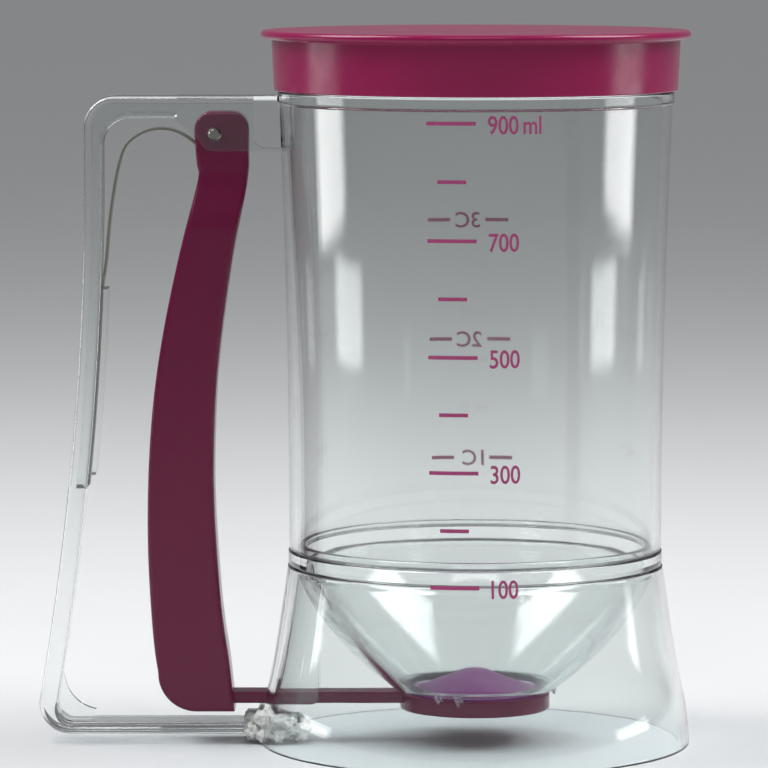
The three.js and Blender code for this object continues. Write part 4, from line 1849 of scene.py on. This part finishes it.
@dataclass
class SqueezeLever(Assembly):
    """The magenta grip, its arm, the valve disc and the soft seal."""

    toe_lift: float = 2.8
    bulge: float = 17.6
    head_top: float = 5.8
    head_back: float = 5.1
    head_back_radius: float = 4.6
    head_front_radius: float = 4.6
    back_shares: tuple[Point, ...] = (
        (0.055, 0.26), (0.077, 0.233), (0.184, 0.472), (0.34, 0.756), (0.497, 0.938), (0.69, 1),
        (0.864, 0.925), (0.93, 0.85),
    )  # of the length and of the bulge, as the next
    front_shares: tuple[Point, ...] = (
        (0.055, -0.5), (0.098, -0.455), (0.222, -0.25), (0.393, -0.055), (0.532, 0.012), (0.653, 0.005),
        (0.811, -0.085), (0.916, -0.205), (1, -0.28),
    )
    relaxing: int = 12
    toe_radius: float = 10
    toe_end: float = 190  # degrees, where the toe's arc meets the back edge
    width: float = 15
    edge_round: float = 1.3
    arm_edge: float = 0.5
    disc_edge: float = 0.5
    seal_edge: float = 0.35
    shoulder_drop: float = 9.5
    shoulder_slope: float = 15
    wall: float = 2.1
    web: float = 2.3
    void_drop: float = 17
    rib_count: int = 4
    rib_wall: float = 1.6
    rib_setback: float = 2.4
    toe_floor: float = 1.4
    notch_depth: float = 2.4
    notch_height: float = 5.2
    ledge_gap: float = 0.5
    notch_side: float = 0.4
    tongue: float = 8.5
    seal_overlap: float = 0.9
    seal_sink: float = 1
    seal_proud: float = 0.6
    dome_inset: float = 0.8
    dome_height: float = 5.8
    dome_shares: tuple[Point, ...] = ((1, 0), (0.82, 0.25), (0.59, 0.5), (0.37, 0.74), (0.19, 0.93), (0, 1))
    disc_rim: float = 1.5
    disc_height: float = 4.3

    @property
    def length(self) -> float:
        """The lever's length below its pin."""
        return self.layout.pivot_height - self.layout.foot_top - self.toe_lift

    @property
    def disc_top(self) -> float:
        """Height of the valve disc's upper face."""
        return self.layout.seal_face - self.seal_proud

    @property
    def seal_radius(self) -> float:
        """Radius of the soft seal."""
        return self.layout.outlet_radius + self.seal_overlap

    def edge(self, shares: Sequence[Point]) -> Outline:
        """An edge of the lever from its shares of length and bulge, running down."""
        return [(-self.bulge * back, -self.length * down) for down, back in shares]

    @property
    def back_edge(self) -> Outline:
        """The edge that the hand's palm side faces."""
        return relaxed(spline([(-self.head_back, 0), *self.edge(self.back_shares)], steps=72), self.relaxing)

    @property
    def front_edge(self) -> Outline:
        """The edge that the fingers pull."""
        return spline(self.edge(self.front_shares), steps=64)

    def outline(self) -> Outline:
        """The lever's side view, measured from its pin.

        Returns:
            The closed outline.
        """
        back, front = self.back_edge, self.front_edge
        toe = back[-1][0] + self.toe_radius
        return [
            *arc(
                self.head_back_radius - self.head_back, self.head_top - self.head_back_radius,
                self.head_back_radius, 180, 90,
            ),
            *arc(
                self.layout.lever_front - self.head_front_radius, self.head_top - self.head_front_radius,
                self.head_front_radius, 90, 0,
            ),
            *front,
            *arc(toe, self.toe_radius - self.length, self.toe_radius, 270, self.toe_end),
            *reversed(back),
        ]

    def hollow(self) -> Piece:
        """The grip's hollow, open at the back, with its cross ribs left standing.

        Returns:
            The solid that is cut away.
        """
        front, back = self.front_edge, self.back_edge
        low = self.toe_floor - self.length
        web = [(x - self.web, z) for x, z in front if low < z < -self.void_drop]
        behind = -self.bulge - OVERRUN
        hollow = slab("hollow", [
            (crossing(front, -self.void_drop) - self.web, -self.void_drop), *web,
            (crossing(front, low) - self.web, low), (behind, low), (behind, -self.void_drop),
        ], self.width - 2 * self.wall)
        pitch = (-self.void_drop - low) / (self.rib_count + 1)
        for i in range(self.rib_count):
            height = low + pitch * (i + 1)
            edges = rectangle(
                crossing(back, height) + self.rib_setback, height,
                crossing(front, height), height + self.rib_wall,
            )
            rib = slab("rib", edges, self.width)
            hollow = worked(hollow, rib, Cut.REMOVE)
        return hollow

    def grip(self) -> Piece:
        """The squeeze lever's solid, in the frame's place.

        Returns:
            The solid.
        """
        at = self.layout
        head_width = at.channel_width - 2 * CLEARANCE
        ledge = at.tip_drop + at.spring_thickness / 2 + self.ledge_gap
        low, high = -self.shoulder_drop - self.shoulder_slope, -self.shoulder_drop
        share = head_width / self.width
        whole = slab("squeeze_grip", self.outline(), self.width, self.edge_round, steps=6)
        lever = waisted(whole, low, high, share)
        behind, notch_floor = -self.head_back - OVERRUN, self.notch_depth - self.head_back
        notch = slab(
            "notch", rectangle(behind, -ledge, notch_floor, self.notch_height - ledge),
            at.spring_width + 2 * self.notch_side,
        )
        toe = self.front_edge[-1][0]
        arm_low, arm_high = at.arm_low - at.pivot_height, at.arm_high - at.pivot_height
        socket = slab(
            "socket", rectangle(toe - self.tongue, arm_low - CLEARANCE, toe + OVERRUN, arm_high + CLEARANCE),
            at.arm_width + 2 * CLEARANCE,
        )
        bore = at.pin_radius + CLEARANCE
        hole = rod("hole", 0, 0, ((-self.width, bore), (self.width, bore)))
        for tool in (waisted(self.hollow(), low, high, share), notch, socket, hole):
            lever = worked(lever, tool, Cut.REMOVE)
        lever.data.transform(Matrix.Translation((-at.pivot_reach, 0, at.pivot_height)))
        return lever

    def arm(self) -> Piece:
        """The arm and the valve disc, with the seal's recess.

        Returns:
            The solid.
        """
        at = self.layout
        recess_radius = self.seal_radius + CLEARANCE
        disc_radius = recess_radius + self.disc_rim
        disc_low = self.disc_top - self.disc_height
        start = self.front_edge[-1][0] - self.tongue + CLEARANCE - at.pivot_reach
        arm = slab("valve_arm_bar", rectangle(start, at.arm_low, 0, at.arm_high), at.arm_width, self.arm_edge)
        disc = turned("disc", softened(rectangle(0, disc_low, disc_radius, self.disc_top), self.disc_edge))
        floor = self.disc_top - self.seal_sink
        recess = turned("recess", rectangle(0, floor, recess_radius, self.disc_top + OVERRUN))
        return worked(worked(arm, disc, Cut.JOIN), recess, Cut.REMOVE)

    def seal(self) -> Piece:
        """The soft seal with its dome.

        Returns:
            The solid.
        """
        at = self.layout
        low = self.disc_top - self.seal_sink + CLEARANCE
        edge = self.seal_radius
        dome_radius = at.outlet_radius - self.dome_inset
        knots = [(dome_radius * out, at.seal_face + self.dome_height * up) for out, up in self.dome_shares]
        section = [(0, low), (edge, low), (edge, at.seal_face), *spline(knots, steps=30)]
        return turned("valve_pad", softened(section, self.seal_edge))

    def build(self, plastic: Material, silicone: Material) -> None:
        """Makes the lever, the arm and the seal.

        Args:
            plastic: The grip's and the arm's material, the lid's magenta made darker as painted shade.
            silicone: The seal's material.
        """
        self.place(self.grip(), Body.TRIGGER, Slot.MAGENTA, plastic, node="squeeze_lever")
        self.place(self.arm(), Body.TRIGGER, Slot.MAGENTA, plastic, node="valve_arm")
        self.place(self.seal(), Body.TRIGGER, Slot.VIOLET, silicone, node="valve_seal")


@dataclass
class PushOnLid(Assembly):
    """The magenta lid with its flange, band and locating ring."""

    taper: float = 0.65
    proud: float = 0.8
    plate: float = 2.2
    flange: float = 2.7
    plug_depth: float = 5
    plug_wall: float = 1.4
    corner: float = 0.35

    def cap(self) -> Piece:
        """The lid's solid.

        Returns:
            The solid.
        """
        at = self.layout
        seat = at.lid_seat
        outer = at.band_radius + self.proud
        inner = at.neck_radius + CLEARANCE
        plug = at.shoulder_radius - at.cup_wall - CLEARANCE
        under = seat + at.lid_skirt
        roll = self.plate / 2
        edge = outer + self.taper + self.flange
        section = [
            (inner, seat), (outer, seat), (outer + self.taper, under),
            *arc(edge - roll, under + roll, roll, -90, 90),
            (0, under + self.plate), (0, under), (plug - self.plug_wall, under),
            (plug - self.plug_wall, under - self.plug_depth), (plug, under - self.plug_depth), (plug, under),
            (inner, under),
        ]
        return turned("push_on_cap", softened(section, self.corner), segments=256)

    def build(self, plastic: Material) -> None:
        """Makes the lid."""
        self.place(self.cap(), Body.LID, Slot.MAGENTA, plastic, node="lid")


# The studio


@dataclass(frozen=True)
class Softbox:
    """A rectangular soft lamp whose cloth darkens towards its edges, metres and watts."""

    name: str
    place: tuple[float, float, float]
    aim: tuple[float, float, float]
    size: Point
    power: float
    only_reflected: bool = False  # whether it is no more than a light shape in gloss and glass
    colour: str = "#FFFFFF"
    fade: float = 0.35  # the share of each half that darkens

    def cloth(self, lamp: bpy.types.Light) -> None:
        """Darkens the lamp's cloth towards its edges.

        Args:
            lamp: The lamp.
        """
        lamp.use_nodes = True
        tree = lamp.node_tree
        tree.nodes.clear()
        across = add_node(tree, "ShaderNodeNewGeometry").outputs["Parametric"]
        place = add_node(tree, "ShaderNodeSeparateXYZ", {0: across})
        shares = []
        for side in ("X", "Y"):
            edge = add_node(tree, "ShaderNodeMath", {0: place.outputs[side], 1: 0.5}, operation="PINGPONG")
            inputs = {"Value": edge.outputs[0], 1: 0, 2: self.fade / 2, 3: 0, 4: 1}
            share = add_node(tree, "ShaderNodeMapRange", inputs, interpolation_type="SMOOTHSTEP")
            shares.append(share.outputs["Result"])
        glow = add_node(tree, "ShaderNodeMath", {0: shares[0], 1: shares[1]}, operation="MULTIPLY")
        light = add_node(tree, "ShaderNodeEmission", {"Strength": glow.outputs[0]})
        add_node(tree, "ShaderNodeOutputLight", {"Surface": light.outputs[0]})

    def build(self) -> None:
        """Puts the lamp up."""
        lamp = bpy.data.lights.new(self.name, "AREA")
        lamp.shape = "RECTANGLE"
        lamp.size, lamp.size_y = self.size
        lamp.energy = self.power
        lamp.color = linear(self.colour)[:3]
        self.cloth(lamp)
        made = bpy.data.objects.new(self.name, lamp)
        made.location = self.place
        made.rotation_euler = (Vector(self.aim) - Vector(self.place)).to_track_quat("-Z", "Y").to_euler()
        made.visible_diffuse = not self.only_reflected
        bpy.context.scene.collection.objects.link(made)


@dataclass
class Studio:
    """The floor, the room, the lamps and the camera."""

    floor_radius: float = 14
    camera_place: tuple[float, float, float] = (0.0050, -1.300, 0.218)
    camera_tilt: float = 84.51  # degrees up from straight down
    lens: float = 236.9
    sensor: float = 36
    room_light: float = 0.4
    room_shown: str = "#7A7B7E"
    lamps: tuple[Softbox, ...] = (
        Softbox(
            "right_strip", (1.228, 0.06, 0.045), (0.03, 0, 0.045), (0.62, 0.084), 0.8, only_reflected=True
        ),
        Softbox(
            "left_strip", (-1.139, 0.13, 0.045), (0.03, 0, 0.045), (0.56, 0.084), 0.7, only_reflected=True
        ),
        Softbox("high_left", (-0.62, 0.03, 0.86), (0.03, 0, 0.04), (0.60, 0.74), 12.5),
        Softbox("high_right", (0.68, 0.03, 0.86), (0.03, 0, 0.04), (0.60, 0.74), 12.5),
        Softbox("front_fill", (0.0, -1.0, 1.6), (0.02, 0, 0.08), (1.1, 0.7), 8.0),
    )

    def floor(self, paper: Material) -> None:
        """Lays the floor.

        Args:
            paper: Its material.
        """
        work = bmesh.new()
        bmesh.ops.create_circle(work, cap_ends=True, radius=self.floor_radius, segments=96)
        made = linked("studio_floor", work)
        made.data.materials.append(paper)

    def room(self) -> None:
        """Sets the room's even light, and what of it the camera, gloss and glass see."""
        world = bpy.data.worlds.new("studio_room")
        world.use_nodes = True
        tree = world.node_tree
        tree.nodes.clear()
        lights = (("#FFFFFF", self.room_light), (self.room_shown, 1))
        even, shown = (
            add_node(tree, "ShaderNodeBackground", {"Color": linear(colour), "Strength": strength})
            for colour, strength in lights
        )
        rays = add_node(tree, "ShaderNodeLightPath").outputs
        seen = rays["Is Camera Ray"]
        for kind in ("Is Transmission Ray", "Is Glossy Ray"):
            seen = add_node(tree, "ShaderNodeMath", {0: seen, 1: rays[kind]}, operation="MAXIMUM").outputs[0]
        mixed = add_node(tree, "ShaderNodeMixShader", {0: seen, 1: even.outputs[0], 2: shown.outputs[0]})
        add_node(tree, "ShaderNodeOutputWorld", {"Surface": mixed.outputs[0]})
        bpy.context.scene.world = world

    def camera(self) -> None:
        """Sets the camera at the photograph's angle."""
        lens = bpy.data.cameras.new("photo_camera")
        lens.lens = self.lens
        lens.sensor_width = self.sensor
        lens.clip_end = 100
        made = bpy.data.objects.new("photo_camera", lens)
        made.location = self.camera_place
        made.rotation_euler = (math.radians(self.camera_tilt), 0, 0)
        bpy.context.scene.collection.objects.link(made)
        bpy.context.scene.camera = made

    def build(self, paper: Material) -> None:
        """Sets everything up round the object.

        Args:
            paper: The floor's material.
        """
        self.floor(paper)
        self.room()
        self.camera()
        for lamp in self.lamps:
            lamp.build()
        bpy.context.scene.view_settings.view_transform = "Standard"
        LOG.info("studio: %d lamps", len(self.lamps))


def main() -> None:
    """Builds the dispenser and its studio."""
    logging.basicConfig(level=logging.INFO, format="%(name)s: %(message)s")
    clear = ClearStyrene("clear_styrene").material()
    magenta = MagentaStyrene("magenta_styrene").material()
    # the lid's magenta made darker for the lever and the arm: painted shade, as they are the same plastic
    shaded_magenta = MagentaStyrene("magenta_styrene_painted_shade", colour="#660A38", deep="#5A0830").material()
    funnel, handle = PouringFunnel(), HandleFrame()
    MeasuringCup().build(clear)
    PrintedScale().build(PadInk("magenta_ink").material())
    funnel.build(clear)
    FlaredSkirt().build(clear, SolventWeld("melted_styrene").material(), funnel)
    handle.build(clear)
    SpringAndPin().build(RolledSteel("spring_steel_strip").material(), handle)
    SqueezeLever().build(shaded_magenta, VioletSilicone("violet_silicone_pad").material())
    PushOnLid().build(magenta)
    Studio().build(StudioPaper("studio_paper").material())


if __name__ == "__main__":
    main()
